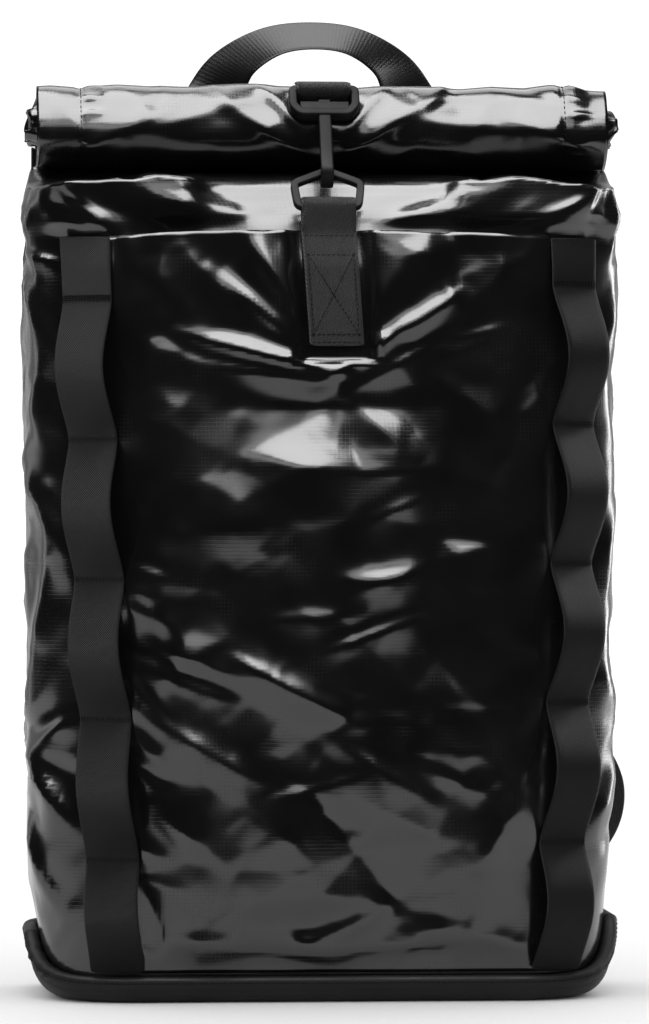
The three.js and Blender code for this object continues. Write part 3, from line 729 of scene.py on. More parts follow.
def hangForwards(points, z):
    # the overhang sags unevenly, most at the corners
    x, y = points[..., 0], points[..., 1]
    towardsEnds = between(np.abs(x), *shoulderSpan["ends"])
    atCorner = between(np.abs(x), *shoulderSpan["corner"])
    stretched = shoulderSpan["waveStretch"] * z
    sag = crumple(x, stretched, shoulderSpan["waveSize"], shoulderSpan["wave"], seed=3.3)
    level = z + towardsEnds * np.maximum(0, sag) + atCorner * shoulderSpan["droop"]
    beside = throughRows(shoulderPush, "beside", z)
    push = mix(beside, throughRows(shoulderPush, "ends", level), towardsEnds)
    pushed = y - push * between(y, *shoulderSpan["front"])
    wall = sackOutline(np.full(len(wrapped), shoulderSpan["wallAt"]))[:, 1] - shoulderSpan["overhang"]
    return np.maximum(pushed, np.minimum(y, wall))


def sackFreedom(s, points, foot):
    # how freely each point of the wall may crease, from 0 to 1
    x, y, z = np.moveaxis(points, -1, 0)
    aside = np.maximum(between(np.abs(s), *sack["aside"]), between(z, *sack["overPocket"]))
    free = between(z - foot, *sack["offBase"]) * between(z, *sack["neck"]) * aside
    besidePanel = sack["panelShare"] * between(np.abs(x), *sack["panel"])
    free = free * np.maximum(between(y, *sack["back"]), besidePanel)
    return free * (1 - sack["chainShare"] * heldFlat(x, z) * between(y, *sack["chain"]))


def makeSack():
    foot = columns["rim"] - base["lap"]
    up = np.linspace(0, 1, sack["rows"])[:, None]
    closer = np.linspace(0, 1, sack["shoulderRows"])[1:, None]
    wall = mix(foot, sack["shoulder"], up)
    z = np.vstack([wall, mix(sack["shoulder"], sackRows[-1]["z"], closer) + 0 * foot])
    points = sackOutline(z)
    s = np.broadcast_to(wrapped, z.shape)
    points[..., 1] = hangForwards(points, z)
    free = sackFreedom(s, points, foot)
    rise = creaseRise(sackFolds, s, z) + crumple(s, z, size=46, height=sack["crumple"], seed=1.3)
    rise += sum(facets(net, s, z) for net in sackNets)
    crumpled = crumple(s, z, size=27, height=sack["shoulderCrumple"], seed=4.4)
    crumpled -= sack["shoulderSink"] * sack["shoulderCrumple"]
    rise += crumpled * between(z, *sack["shoulderLimits"])
    points = points + outward * (free * rise)[..., None]
    uv = together(columnPlace[None, :], np.hstack([z, z[:, :1]]))
    return clothPiece("sackWall", points, uv, sack["wall"], "sack_wall", closed=True)


sackWall = makeSack()
print("sack made")


# The base: a matt cloth tray whose rim is sewn to the sack's foot

def makeBase():
    onRim = sackOutline(columns["rim"])
    inset = mix(base["frontInset"], base["sideInset"], np.abs(np.cos(columns["normal"])))

    def ringAt(off, z):
        placed = onRim + outward * (np.ones(len(inset)) * off)[:, None]
        placed[:, 2] = z
        return placed

    rings = []
    for angle in np.linspace(math.pi / 2, 0, base["curveSteps"]):
        off = mix(-inset, base["wall"], math.cos(angle))
        rings.append(ringAt(off, mix(0, columns["rim"] - base["lap"], 1 - math.sin(angle))))
    rings.append(ringAt(bead["out"], columns["rim"] - bead["drop"] - bead["tuck"]))
    for angle in np.radians(np.linspace(*bead["arc"])):
        reach = bead["crown"] * math.cos(angle)
        lift = (bead["rise"] + bead["drop"]) * bead["flat"] * math.sin(angle)
        rings.append(ringAt(bead["crown"] + reach, columns["rim"] - bead["sink"] + lift))
    points = np.array(rings)
    underside = [points[:1] * t for t in base["floorRings"]]
    points = np.concatenate([*underside, points])
    gathers = 0
    for row in gatherPlaces:
        gathers = gathers + row["share"] * np.exp(-((wrapped - row["s"]) / row["reach"]) ** 2)
    ripple = np.sin(wrapped / gather["pitch"] * 2 * math.pi) * gathers * gather["rise"]
    nearRim = between(points[..., 2], *gather["limits"])
    points = points + outward * (nearRim * ripple)[..., None]
    uv = together(columnPlace[None, :], runLength(points[:, 0])[:, None])
    obj = gridObject("baseTray", points, uv, closed=True)
    closed = bmesh.new()
    closed.from_mesh(obj.data)
    closed.verts.ensure_lookup_table()
    closed.faces.new([closed.verts[k] for k in reversed(range(points.shape[1]))])
    closed.to_mesh(obj.data)
    closed.free()
    obj.data.shade_smooth()
    thicken(obj, base["cloth"])
    return finishPiece(obj, baseLook, ["base_panel"])


def makeBaseSeam():
    # a sewn row all round, just below the bead
    onRim = sackOutline(columns["rim"]) + outward * (2 * bead["crown"] + bead["seamLift"])
    onRim[:, 2] = columns["rim"] - gather["seamDrop"]
    around = np.vstack([onRim, onRim[:1]])
    stitching("baseSeam", [around], pitch=3.2, length=2.6, radius=0.3)


baseTray = makeBase()
makeBaseSeam()
print("base made")


# Chains of webbing loops, and the pocket between them

pocket = {"foot": 16, "mouth": 417, "droop": 4, "columns": 120, "rows": 190, "wall": 0.8, "slack": 7.5,
          "seam": 38, "hem": 50, "dome": 55, "domeX": 24, "domeReach": 62, "gapeFrom": 372.0,
          "crumple": 1.5, "lower": 1.5, "low": (190, 130), "edgeFade": 8, "footFade": 14}
broadNet = facetNet(size=30, height=2.4, reach=460, seed=12)
fineNet = facetNet(size=13, height=0.6, reach=460, seed=14)
tab = {"foot": 354, "sewnTo": 416, "lean": 4, "clear": 16, "fade": 9, "steps": 40, "loopSteps": 24}
pocketFolds = namedRows(foldColumns, [
    (-36, 350, -14, 116, 6, 6.5, None, 1.2),
    (-34, 339, -9, 100, 4, 3.5),
    (30, 358, 33, 104, 6, 6.5, None, 1.2),
    (36, 344, 30, 90, 4, 3),
    (-28, 390, -54, 84, 9, 9, 1.2, 1.2),
    (-38, 374, -40, 80, 6, 5, None, 1.2),
    (-62, 388, -48, 64, 5, 3.5),
    (31, 384, 54, 90, 9, 9, 1.6),
    (56, 372, 38, 48, 5, 3.5),
    (-84, 380, -52, 54, 6, 4, 1.6),
    (-88, 352, -22, 46, 6, 3.5),
    (84, 362, 14, 44, 3, 2),
    (0, 322, 0, 130, 9, -4, 1.5, 1),
    (26, 312, -40, 62, 7, 4),
    (8, 286, -4, 112, 13, 8, None, None, 7),
    (36, 266, 24, 44, 6, 4),
    (28, 228, 8, 56, 8, 5, None, None, 5),
    (22, 198, 20, 70, 5, 3.5),
    (-8, 208, 4, 62, 6, 3),
    (-58, 256, 6, 150, 10, 10, 4, 3),
    (-19, 169, -28, 92, 6.5, 7),
    (-76, 186, -21, 90, 6, 5, 2.4, 1),
    (-78, 172, -20, 70, 5, 3),
    (-66, 136, -30, 80, 6, 4),
    (-78, 92, -36, 70, 6, 4, 2, 1),
    (94, 92, 58, 60, 7, 4),
    (104, 120, 66, 54, 6, 3),
    (30, 124, -32, 84, 6, 3),
    (-6, 116, 14, 64, 6, 3),
    (62, 122, -24, 50, 5, 2.5),
])
sidePuckers = {"count": 12, "along": "z", "from": 62, "to": 236, "s": (-104, -90), "lean": (-54, -14),
               "length": (22, 54), "width": (3, 5.5), "rise": (1, 2.8), "seed": 5}
hemPuckers = {"count": 11, "along": "s", "from": -96, "to": 104, "z": (26, 52), "lean": (-50, 50),
              "length": (30, 64), "width": (5, 9), "rise": (0.8, 2.2), "seed": 8}


def scatteredFolds(spec, stray=6):
    # small folds of uneven size in a row, where cloth is gathered into a seam
    dice = np.random.default_rng(spec["seed"])
    places = np.linspace(spec["from"], spec["to"], spec["count"])
    places = places + dice.uniform(-stray, stray, spec["count"])
    ranges = {key: limits for key, limits in spec.items() if isinstance(limits, tuple)}
    folds = []
    for place in places:
        sizes = {key: dice.uniform(*limits) for key, limits in ranges.items()}
        folds.append({spec["along"]: place, **sizes})
    return folds


hemFolds = namedRows(foldColumns, [
    (44, 31, 5, 120, 5, 3.2, 2.2, 0.8),
    (-38, 29, -7, 110, 5, 2.6, 2.2, 0.8),
    (92, 33, -12, 46, 5, 2.4, 2, 0.8),
])
puckers = scatteredFolds(sidePuckers) + scatteredFolds(hemPuckers) + hemFolds


def frontFace(x, z):
    half, front, corner = (throughRows(sackRows, key, z) for key in ("halfWidth", "front", "frontCorner"))
    past = np.maximum(0, np.abs(x) - (half - corner))
    turn = np.arcsin(np.minimum(1, past / corner)) * np.sign(x)
    at = together(x, front + corner * (1 - np.cos(turn)), z)
    out = together(np.sin(turn), -np.cos(turn), 0.0)
    across = together(np.cos(turn), np.sin(turn), 0.0)
    return at, out, across


def tabX(z):
    return tab["lean"] * np.maximum(0, 1 - (z - tab["foot"]) / (tab["sewnTo"] - tab["foot"]))


def pocketStandOff(x, z):
    # how far the pocket's cloth stands off the front of the sack
    edges = [np.abs(chainX(strap, z)) - chain["pocketLap"] - strap["side"] * x for strap in chains.values()]
    fromEdge = np.minimum(*edges)
    fromFoot = z - pocket["foot"]
    hem = pocket["hem"] + pocket["dome"] * np.exp(-((x - pocket["domeX"]) / pocket["domeReach"]) ** 2)
    loose = ease(fromEdge / pocket["seam"]) * ease(fromFoot / hem)
    fromTab = np.abs(x - tabX(z)) - tab["clear"]
    free = np.where(z < tab["foot"] - tab["fade"], 1, ease(fromTab / tab["fade"]))
    nearEdge = ease(fromEdge / pocket["edgeFade"]) * ease(fromFoot / pocket["footFade"])
    rise = creaseRise(pocketFolds, x, z)
    small = crumple(x, z, size=52, height=pocket["crumple"], seed=3.7) + facets(fineNet, x, z)
    small += facets(broadNet, x, z) * mix(1, pocket["lower"], between(z, *pocket["low"]))
    mouthFront = throughRows(sackRows, "front", pocket["gapeFrom"])
    gape = np.maximum(0, throughRows(sackRows, "front", z) - mouthFront)
    slack = loose * (pocket["slack"] + free * (rise + gape))
    slack = slack + nearEdge * (free * small + np.maximum(0, creaseRise(puckers, x, z)))
    return goods["gap"] + goods["cloth"] + np.maximum(0, slack)


def makePocket():
    up = np.linspace(0, 1, pocket["rows"])[:, None]
    t = np.linspace(0, 1, pocket["columns"])[None, :]
    level = mix(pocket["foot"], pocket["mouth"] - pocket["droop"], up)
    left, right = (chainX(strap, level) + strap["side"] * chain["margin"] for strap in chains.values())
    x = mix(left, right, t)
    z = level + up * pocket["droop"] * (1 - (2 * t - 1) ** 2)
    at, out, _ = frontFace(x, z)
    points = at + out * pocketStandOff(x, z)[..., None]
    return clothPiece("frontPocket", points, together(x, z), pocket["wall"], "front_pocket")


frontPocket = makePocket()
print("pocket made")


def chainStations(strap):
    tacks = [strap["firstTack"] - k * chain["pitch"] for k in range(chain["tacks"])]
    ends = [chain["top"], *tacks, chain["foot"]]
    seat = 2 * goods["gap"] + goods["cloth"] + goods["webbing"] / 2
    heights = []
    arches = []
    for loop, (top, foot) in enumerate(zip(ends, ends[1:])):
        t = np.linspace(0, 1, chain["steps"])[(0 if loop == 0 else 1):]
        heights.append(mix(top, foot, t))
        arches.append((chain["standOff"] if loop else 0) * np.sin(math.pi * t) ** chain["arch"])
    z = np.concatenate(heights)[::-1]
    at, out, across = frontFace(chainX(strap, z), z)
    return at + out * (seat + np.concatenate(arches)[::-1])[:, None], out, across, tacks


barTack = {"rows": 5, "spread": 1.1, "inset": 1.5, "lift": 0.1}


def makeChain(name, strap):
    centres, out, across, tacks = chainStations(strap)
    width = goods["webbingWidth"]
    obj, flat = strapPiece(f"daisyChain_{name}", chainLook, f"daisy_chain_{name}", centres, across, width)
    lines = []
    for tack in tacks:
        k = np.argmin(np.abs(centres[:, 2] - tack))
        surface = centres[k] + out[k] * (goods["webbing"] / 2 + barTack["lift"])
        for row in range(barTack["rows"]):
            lift = np.array([0, 0, (row - (barTack["rows"] - 1) / 2) * barTack["spread"]])
            reach = across[k] * (width / 2 - barTack["inset"])
            lines.append([surface + lift - reach, surface + lift + reach])
    stitching(f"chainTacks_{name}", lines, pitch=1.7, length=1.8, radius=0.4)


for chainName, chainStrap in chains.items():
    makeChain(chainName, chainStrap)
print("chains made")


# The rolled mouth: two turns of the flattened neck

roll = {"halfLength": 163, "y": -15.2, "z": 475, "radius": 22.5, "pitch": 4, "turns": 2, "drop": 17,
        "tailHalf": 148, "tailRows": 8, "squeeze": 0.07, "squeezeReach": 42, "ear": 28, "taper": 0.14,
        "columns": 170, "steps": 72, "wall": 1.2, "flatAngle": 150, "boxy": 3.0, "short": 0.04,
        "crumple": 1.0, "crushFrom": 134, "crush": 7, "crushCrumple": 4.0, "ragged": 4}
# in turns: how soon each of these has come in, where it ends and how soon it has gone
rollSpans = {"boxy": (0.2, 0.9, 0.2), "outer": (0.08, 0.98, 0.1), "short": (0.15, 1.05, 0.15)}
innerTurnSpan = (0.95, 1.05)
endSeams = namedRows("x puckerX", [(-138, -132), (138, 145)])
endSeam = {"from": 0.16, "to": 0.62, "steps": 40, "lift": 0.25, "sink": 0.9, "width": 2.2}
# places round the roll are measured over its top from the back, so they grow downwards on the front
rollFolds = namedRows(foldColumns, [
    (-30, 74, 30, 96, 5, 3.4),
    (-22, 62, 48, 60, 4, 2.4),
    (34, 72, -30, 100, 5, 3.4),
    (24, 60, -50, 60, 4, 2.4),
    (-70, 64, -16, 100, 6, 2.6),
    (84, 70, 6, 110, 6, 2.6),
    (-112, 72, -24, 70, 6, 2.6),
    (128, 74, 18, 60, 5, 2.2),
    (-60, 48, 62, 34, 4, 1.4),
    (66, 48, -64, 34, 4, 1.4),
])
endPuckers = {"count": 8, "along": "z", "from": 34, "to": 92, "lean": (-14, 14), "length": (12, 24),
              "width": (1.4, 2.6), "rise": (0.6, 1.5), "seed": 11}
rollPuckers = scatteredFolds(endPuckers)
rollNet = facetNet(size=19, height=1.3, reach=320, seed=21)


def during(turn, fadeIn, end, fadeOut):
    return ease(turn / fadeIn) * ease((end - turn) / fadeOut)


def rollPoint(turn, x, off=0.0):
    fromEnd = np.maximum(0, 1 - (roll["halfLength"] - np.abs(x)) / roll["ear"])
    squeeze = roll["squeeze"] * np.exp(-(x / roll["squeezeReach"]) ** 2)
    press = (squeeze + roll["taper"] * fromEnd ** 2) * np.sin(math.pi * turn) ** 2
    angle = 2 * math.pi * turn
    facing = angle - math.radians(roll["flatAngle"])
    boxy = roll["boxy"]
    square = (np.abs(np.cos(facing)) ** boxy + np.abs(np.sin(facing)) ** boxy) ** (-1 / boxy)
    flat = 1 + (square - 1) * during(turn, *rollSpans["boxy"])
    radius = (roll["radius"] - roll["pitch"] * turn) * (1 - press) * flat + off
    return together(x, roll["y"] + radius * np.cos(angle), roll["z"] + radius * np.sin(angle))


def rollRise(x, around):
    puckered = [dict(fold, s=seam["puckerX"]) for seam in endSeams for fold in rollPuckers]
    folds = creaseRise(rollFolds, x, around, above=0.8, below=1.6)
    folds += creaseRise(puckered, x, around, above=1, below=1)
    sewn = sum(np.exp(-((x - seam["x"]) / endSeam["width"]) ** 2) for seam in endSeams)
    small = crumple(x, around, size=40, height=roll["crumple"], seed=2.4) + facets(rollNet, x, around)
    return folds + small - endSeam["sink"] * sewn


def makeRoll():
    # the outer turn is shorter than the inner one, whose ends are crushed together
    x = np.linspace(roll["halfLength"], -roll["halfLength"], roll["columns"])[None, :]
    turn = np.linspace(0, roll["turns"], roll["turns"] * roll["steps"] + 1)[:, None]
    around = turn * 2 * math.pi * roll["radius"]
    outerTurn = during(turn, *rollSpans["outer"])
    innerTurn = between(turn, *innerTurnSpan)
    atEnd = between(np.abs(x), roll["crushFrom"], roll["halfLength"])
    crushed = crumple(1.4 * x, around, size=24, height=roll["crushCrumple"], seed=6.3) - roll["crush"]
    ragged = np.maximum(0, crumple(0.3 * x, around, size=30, height=roll["ragged"], seed=9.6))
    short = 1 - roll["short"] * during(turn, *rollSpans["short"])
    off = outerTurn * rollRise(x, around) + innerTurn * np.minimum(0, atEnd * crushed)
    points = rollPoint(turn, x * short, off)
    points[..., 0] -= np.sign(x) * innerTurn * atEnd * ragged
    lift = np.linspace(1, 0, roll["tailRows"])[:-1, None]
    tail = rollPoint(0 * lift, x * mix(1, roll["tailHalf"] / roll["halfLength"], lift))
    tail = tail - np.array([0, 0, roll["drop"]]) * lift[..., None]
    points = np.concatenate([tail, points])
    uv = together(x, runLength(points[:, 0])[:, None])
    return clothPiece("rolledMouth", points, uv, roll["wall"], "rolled_mouth")


rolledMouth = makeRoll()


def makeEndSeams():
    lines = []
    for seam in endSeams:
        turn = np.linspace(endSeam["from"], endSeam["to"], endSeam["steps"])
        x = np.full(endSeam["steps"], float(seam["x"]))
        off = rollRise(x, turn * 2 * math.pi * roll["radius"]) + endSeam["lift"]
        lines.append(rollPoint(turn, x * (1 - roll["short"]), off))
    stitching("rollSeams", lines, pitch=3.4, length=2.6, radius=0.28)


makeEndSeams()
print("roll made")


# Tab, ring, hook and strap that hold the roll down

ring = {"bar": 4.3, "edge": 0.9, "footHalf": 18.6, "half": 20.4, "shoulder": 15.5, "peak": 23.2, "tilt": 33,
        "fillet": 3.0, "y": -71.5, "z": 430}
tabSeams = {"half": 12.2, "upper": 414.0, "top": 403.5, "foot": 360.5, "hem": 356.4, "lift": 0.12,
            "steps": 14}
hookFrame = {"width": 37, "height": 16, "thick": 7, "side": 3, "topBar": 3.5, "footBar": 4.5, "angle": 145,
             "standOff": 6, "taper": 4, "taperRise": 1, "bar": 4.6, "edge": 1.0, "fillet": 2.0}
hookPlate = {"height": 8, "thinner": 0.6, "edge": 0.8, "drop": 1, "steps": 8}
stem = {"width": 7, "thick": 3.5, "edge": 1.1, "bend": 5, "bendSteps": 9, "tip": 5, "kneeHeight": 460,
        "shoulder": 0.4, "rootUp": 4, "rootOut": 1.2, "steps": 70}


def makeTab():
    z = np.linspace(tab["foot"], tab["sewnTo"], tab["steps"])
    at, _, _ = frontFace(tabX(z), z)
    behind = at[:, 1] - pocketStandOff(tabX(z), z) - goods["gap"] - goods["webbing"] / 2
    loop = ring["bar"] / 2 * math.sqrt(2) + 2 * goods["gap"] + goods["webbing"] / 2
    front = together(tabX(z), behind - goods["webbing"] - goods["gap"], z)
    back = together(tabX(z), behind, z)[::-1]
    angle = np.linspace(math.pi, 0, tab["loopSteps"])
    over = together(0.0, ring["y"] + loop * np.cos(angle), ring["z"] + loop * np.sin(angle))
    centres = np.vstack([front, over, back])
    across = np.tile([1.0, 0, 0], (len(centres), 1))
    width = goods["webbingWidth"]
    obj, flat = strapPiece("closureTab", webbingLook, "closure_tab", centres, across, width)
    face = goods["webbing"] / 2 + tabSeams["lift"]

    def onTab(x, height):
        place = np.interp(height, z, front[:, 1])
        return np.array([np.interp(height, z, tabX(z)) + x, place - face, height])

    def seam(x0, z0, x1, z1):
        return [onTab(mix(x0, x1, t), mix(z0, z1, t)) for t in np.linspace(0, 1, tabSeams["steps"])]

    half, top, foot = tabSeams["half"], tabSeams["top"], tabSeams["foot"]
    levels = [tabSeams[key] for key in ("upper", "top", "foot", "hem")]
    lines = [seam(-half, level, half, level) for level in levels]
    lines += [seam(x, foot, x, top) for x in (-half, half)]
    lines += [seam(-half, foot, half, top), seam(-half, top, half, foot)]
    stitching("tabStitching", lines, pitch=2.6, length=2.2, radius=0.26)


def onRing(x, up):
    tilt = math.radians(ring["tilt"])
    return together(x, ring["y"] + up * math.sin(tilt), ring["z"] + up * math.cos(tilt))


def makeRing():
    inset = ring["bar"] / 2
    foot, side = ring["footHalf"] - inset, ring["half"] - inset
    shoulder = ring["shoulder"] - inset / 3
    corners = [(-foot, 0), (foot, 0), (side, shoulder), (0, ring["peak"]), (-side, shoulder)]
    outline = filleted(corners, ring["fillet"], steps=6)
    tilt = math.radians(ring["tilt"])
    facing = (0, -math.cos(tilt), math.sin(tilt))
    section = roundedSection(ring["bar"], ring["bar"], ring["edge"])
    obj = sweptBar("closureRing", onRing(*outline.T), section, facing, closed=True)
    finishPiece(rounded(obj), metalLook, ["closure_ring"])


makeTab()
makeRing()
frameLean = math.pi - math.radians(hookFrame["angle"])
frameMiddle = rollPoint(np.array(hookFrame["angle"] / 360), np.array(0.0), hookFrame["standOff"])


def onFrame(up, out, x=0.0):
    y = up * math.sin(frameLean) - out * math.cos(frameLean)
    z = up * math.cos(frameLean) + out * math.sin(frameLean)
    return frameMiddle + np.array([x, y, z])


def makeHook():
    inX = (hookFrame["width"] - hookFrame["side"]) / 2
    low = (hookFrame["footBar"] - hookFrame["height"]) / 2
    high = (hookFrame["height"] - hookFrame["topBar"]) / 2
    taperX = inX - hookFrame["taper"]
    foot = low - hookFrame["taper"]
    side = low + hookFrame["taperRise"]
    corners = [(-taperX, foot), (taperX, foot), (inX, side), (inX, high), (-inX, high), (-inX, side)]
    path = np.array([onFrame(y, 0, x) for x, y in filleted(corners, hookFrame["fillet"])])
    facing = onFrame(0, 1) - onFrame(0, 0)
    section = roundedSection(hookFrame["thick"], hookFrame["bar"], hookFrame["edge"])
    bar = sweptBar("closureHook", path, section, facing, closed=True)
    plateX = np.linspace(-taperX, taperX, hookPlate["steps"])
    plateLine = np.array([onFrame(low - hookPlate["drop"], 0, x) for x in plateX])
    plateThick = hookFrame["thick"] - hookPlate["thinner"]
    plateSection = roundedSection(plateThick, hookPlate["height"], hookPlate["edge"])
    plate = sweptBar("hookPlate", plateLine, plateSection, facing, closed=False)
    peak = onRing(0.0, ring["peak"]) - (0, 0, ring["bar"] / 2)
    root = onFrame(low + stem["rootUp"], stem["rootOut"])
    knee = onFrame(low - (root[2] - stem["kneeHeight"]) / math.cos(frameLean), 0)
    angle = np.linspace(math.pi, 2 * math.pi, stem["bendSteps"])
    bend = peak + stem["bend"] * together(0.0, np.cos(angle), np.sin(angle))
    shoulder = np.array([0, bend[0][1], mix(bend[0][2], knee[2], stem["shoulder"])])
    tip = bend[-1] + np.array([0, 0, stem["tip"]])
    route = throughPoints([root, mix(root, knee, 0.5), knee, shoulder, *bend, tip], stem["steps"])
    rodSection = roundedSection(stem["width"], stem["thick"], stem["edge"])
    rod = sweptBar("hookStem", route, rodSection, (1, 0, 0), closed=False)
    for other in (plate, rod):
        union = bar.modifiers.new("weld", "BOOLEAN")
        union.operation = "UNION"
        union.object = other
    applyAll(bar)
    for other in (plate, rod):
        bpy.data.objects.remove(other)
    bar.data.shade_smooth()
    bar.data.set_sharp_from_angle(angle=math.radians(40))
    finishPiece(bar, metalLook, ["closure_hook"])


makeHook()

backFace = 68.3
# how far forwards of the back the strap lies at each height, then its place round the roll in degrees
strapRise = [(1.05, 430), (2.1, 446), (8.3, 460), (36.3, 483), (60.3, 495.5)]
strapOver = {"there": (78, 90, 103, 116), "back": (100, 86), "steps": 140}


def makeClosureStrap():
    seat = goods["gap"] + goods["webbing"] / 2
    second = seat + goods["webbing"] + 2 * goods["gap"]
    barFoot = hookFrame["height"] / 2 - hookFrame["topBar"]
    over = hookFrame["thick"] / 2 + 2 * goods["gap"] + goods["webbing"] / 2

    def onRoll(degrees, off):
        return rollPoint(np.array(degrees / 360), np.array(0.0), off)

    route = [np.array([0, backFace - forward, z]) for forward, z in strapRise]
    route += [onRoll(degrees, seat) for degrees in strapOver["there"]]
    route += [onFrame(barFoot, -over), onFrame(barFoot - goods["webbing"], 0), onFrame(barFoot, over)]
    route += [onFrame(barFoot + hookFrame["topBar"], over), onFrame(barFoot + 2 * hookFrame["topBar"], 0)]
    route += [onRoll(degrees, second) for degrees in strapOver["back"]]
    centres = throughPoints(route, strapOver["steps"])
    across = np.tile([1.0, 0, 0], (len(centres), 1))
    width = goods["webbingWidth"]
    obj, flat = strapPiece("closureStrap", webbingLook, "closure_strap", centres, across, width)


makeClosureStrap()
print("closure made")


# Grab handle: one strap that turns to face up at its crest

handle = {"width": 40, "drop": 27, "steps": 90}
handleRoute = namedRows("x y z turn", [
    (-50, 67.2, 434, 0),
    (-51, 66, 462, 0),
    (-53, 63, 489, 12),
    (-52.5, 61, 503, 44),
    (-43, 57, 518, 64),
    (-23, 53, 529.5, 78),
    (0, 51, 532.5, 90),
])


def makeHandle():
    route = handleRoute + [dict(row, x=-row["x"], turn=180 - row["turn"]) for row in handleRoute[-2::-1]]
    centres = throughPoints([(row["x"], row["y"], row["z"]) for row in route], handle["steps"])
    place = np.linspace(0, len(route) - 1, handle["steps"])
    turn = np.radians(np.interp(place, range(len(route)), [row["turn"] for row in route]))
    drop = math.radians(handle["drop"])
    across = together(np.cos(turn), -np.sin(turn) * math.cos(drop), -np.sin(turn) * math.sin(drop))
    obj, flat = strapPiece("grabHandle", handleLook, "grab_handle", centres, across, handle["width"])


makeHandle()
print("handle made")


# Padded back and shoulder straps, swelled by cloth simulation

padding = {"voxel": 5.0, "smoothing": 4, "pressure": 3.0, "frames": 14, "cap": 1.6, "stitchLift": 0.15,
           "sewnFrom": 400}
panel = {"halfWidth": 128, "foot": 39, "top": 452, "thick": 7, "corner": 34, "piping": 4, "tuck": 1.5,
         "channels": (-64, 0, 64), "rows": (110, 195, 280, 365), "depth": 2.2, "channelWidth": 4,
         "border": 16, "borderFade": 6, "faceFade": 2, "stitchesUp": 90, "stitchesAcross": 60}
pads = {"width": 58, "thick": 9, "edge": 4.5, "steps": 64, "lanes": 13, "faceInset": 2, "edgeInset": 0.5,
        "piping": 3.2, "seamInset": 7}
padRoute = namedRows("x off z", [
    (46, 0, 446),
    (47, 0.8, 434),
    (50, 15, 410),
    (58, 34, 366),
    (72, 42, 300),
    (92, 34, 230),
    (108, 20, 180),
])
tails = {"width": 25, "steps": 60, "left": 0, "right": 40}
tailRoute = namedRows("x off z swing", [
    (103, 22.1, 195, 0),
    (109, 17.5, 178, 0.02),
    (119, 12, 154, 0.3),
    (127, 10, 124, 0.85),
    (128, 9, 100, 1),
    (125, 6, 76, 0.75),
    (116, 0, 48, 0),
])
sides = {"left": -1, "right": 1}


def swell(obj):
    # press the skin out from inside, no further than the cap
    rest = np.array([v.co for v in obj.data.vertices])
    soft = obj.modifiers.new("soft", "CLOTH")
    soft.settings.use_pressure = True
    soft.settings.uniform_pressure_force = padding["pressure"]
    soft.settings.effector_weights.gravity = 0
    soft.point_cache.frame_end = padding["frames"]
    for step in range(1, padding["frames"] + 1):
        bpy.context.scene.frame_set(step)
    applyAll(obj)
    moved = np.array([v.co for v in obj.data.vertices]) - rest
    length = np.linalg.norm(moved, axis=1, keepdims=True)
    kept = moved * np.minimum(1, padding["cap"] * mm / np.maximum(length, 1e-9))
    obj.data.vertices.foreach_set("co", (rest + kept).ravel())
    bpy.context.scene.frame_set(1)


def finishPad(obj, node):
    obj.data.shade_smooth()
    finishPiece(rounded(obj), paddingLook, [node])


def sewnFromBehind(name, obj, lines):
    # stitches laid on a finished skin, along lines drawn as seen from behind
    skin = BVHTree.FromPolygons([v.co for v in obj.data.vertices], [p.vertices for p in obj.data.polygons])
    forwards = Vector((0, -1, 0))
    laid = []
    for line in lines:
        starts = [Vector((x, padding["sewnFrom"], z)) * mm for x, z in line]
        hits = [skin.ray_cast(start, forwards)[0] for start in starts]
        laid.append([np.array(hit) / mm + (0, padding["stitchLift"], 0) for hit in hits if hit is not None])
    stitching(name, laid, pitch=3.2, length=2.5, radius=0.3)


def makePiping(name, path, across, thick, closed):
    almostRound = roundedSection(thick, thick, thick / 2 - 0.01)
    cord = sweptBar(name, path, almostRound, across, closed)
    cord.data.shade_smooth()
    finishPiece(cord, baseLook, ())


def panelGrooves(points):
    x, y, z = points.T
    lines = [np.abs(x - at) for at in panel["channels"]] + [np.abs(z - at) for at in panel["rows"]]
    inside = [panel["halfWidth"] - np.abs(x), z - panel["foot"], panel["top"] - z]
    inside = ease((np.min(inside, axis=0) - panel["border"]) / panel["borderFade"])
    behind = ease((y - backFace - panel["thick"] / 2) / panel["faceFade"])
    return panel["depth"] * inside * behind * np.exp(-(np.min(lines, axis=0) / panel["channelWidth"]) ** 2)


def makeBackPanel():
    obj = newObject("backPanel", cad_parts["back_panel"].data.copy())
    remesh = obj.modifiers.new("remesh", "REMESH")
    remesh.mode = "VOXEL"
    remesh.voxel_size = padding["voxel"] * mm
    soften = obj.modifiers.new("soften", "SMOOTH")
    soften.iterations = padding["smoothing"]
    applyAll(obj)
    swell(obj)
    points = np.array([v.co for v in obj.data.vertices]) / mm
    points[:, 1] -= panelGrooves(points)
    obj.data.vertices.foreach_set("co", (points * mm).ravel())
    finishPad(obj, "back_panel")
    half, foot, top, border = (panel[key] for key in ("halfWidth", "foot", "top", "border"))
    heights = np.linspace(foot + border, top - border, panel["stitchesUp"])
    widths = np.linspace(border - half, half - border, panel["stitchesAcross"])
    lines = [[(x, z) for z in heights] for x in panel["channels"]]
    lines += [[(x, z) for x in widths] for z in panel["rows"]]
    sewnFromBehind("panelStitching", obj, lines)
    half, foot, top = half - panel["tuck"], foot + panel["tuck"], top - panel["tuck"]
    outline = filleted([(-half, foot), (half, foot), (half, top), (-half, top)], panel["corner"], steps=10)
    path = together(outline[:, 0], backFace + panel["thick"] / 2, outline[:, 1])
    makePiping("panelPiping", path, (0, 1, 0), panel["piping"], closed=True)


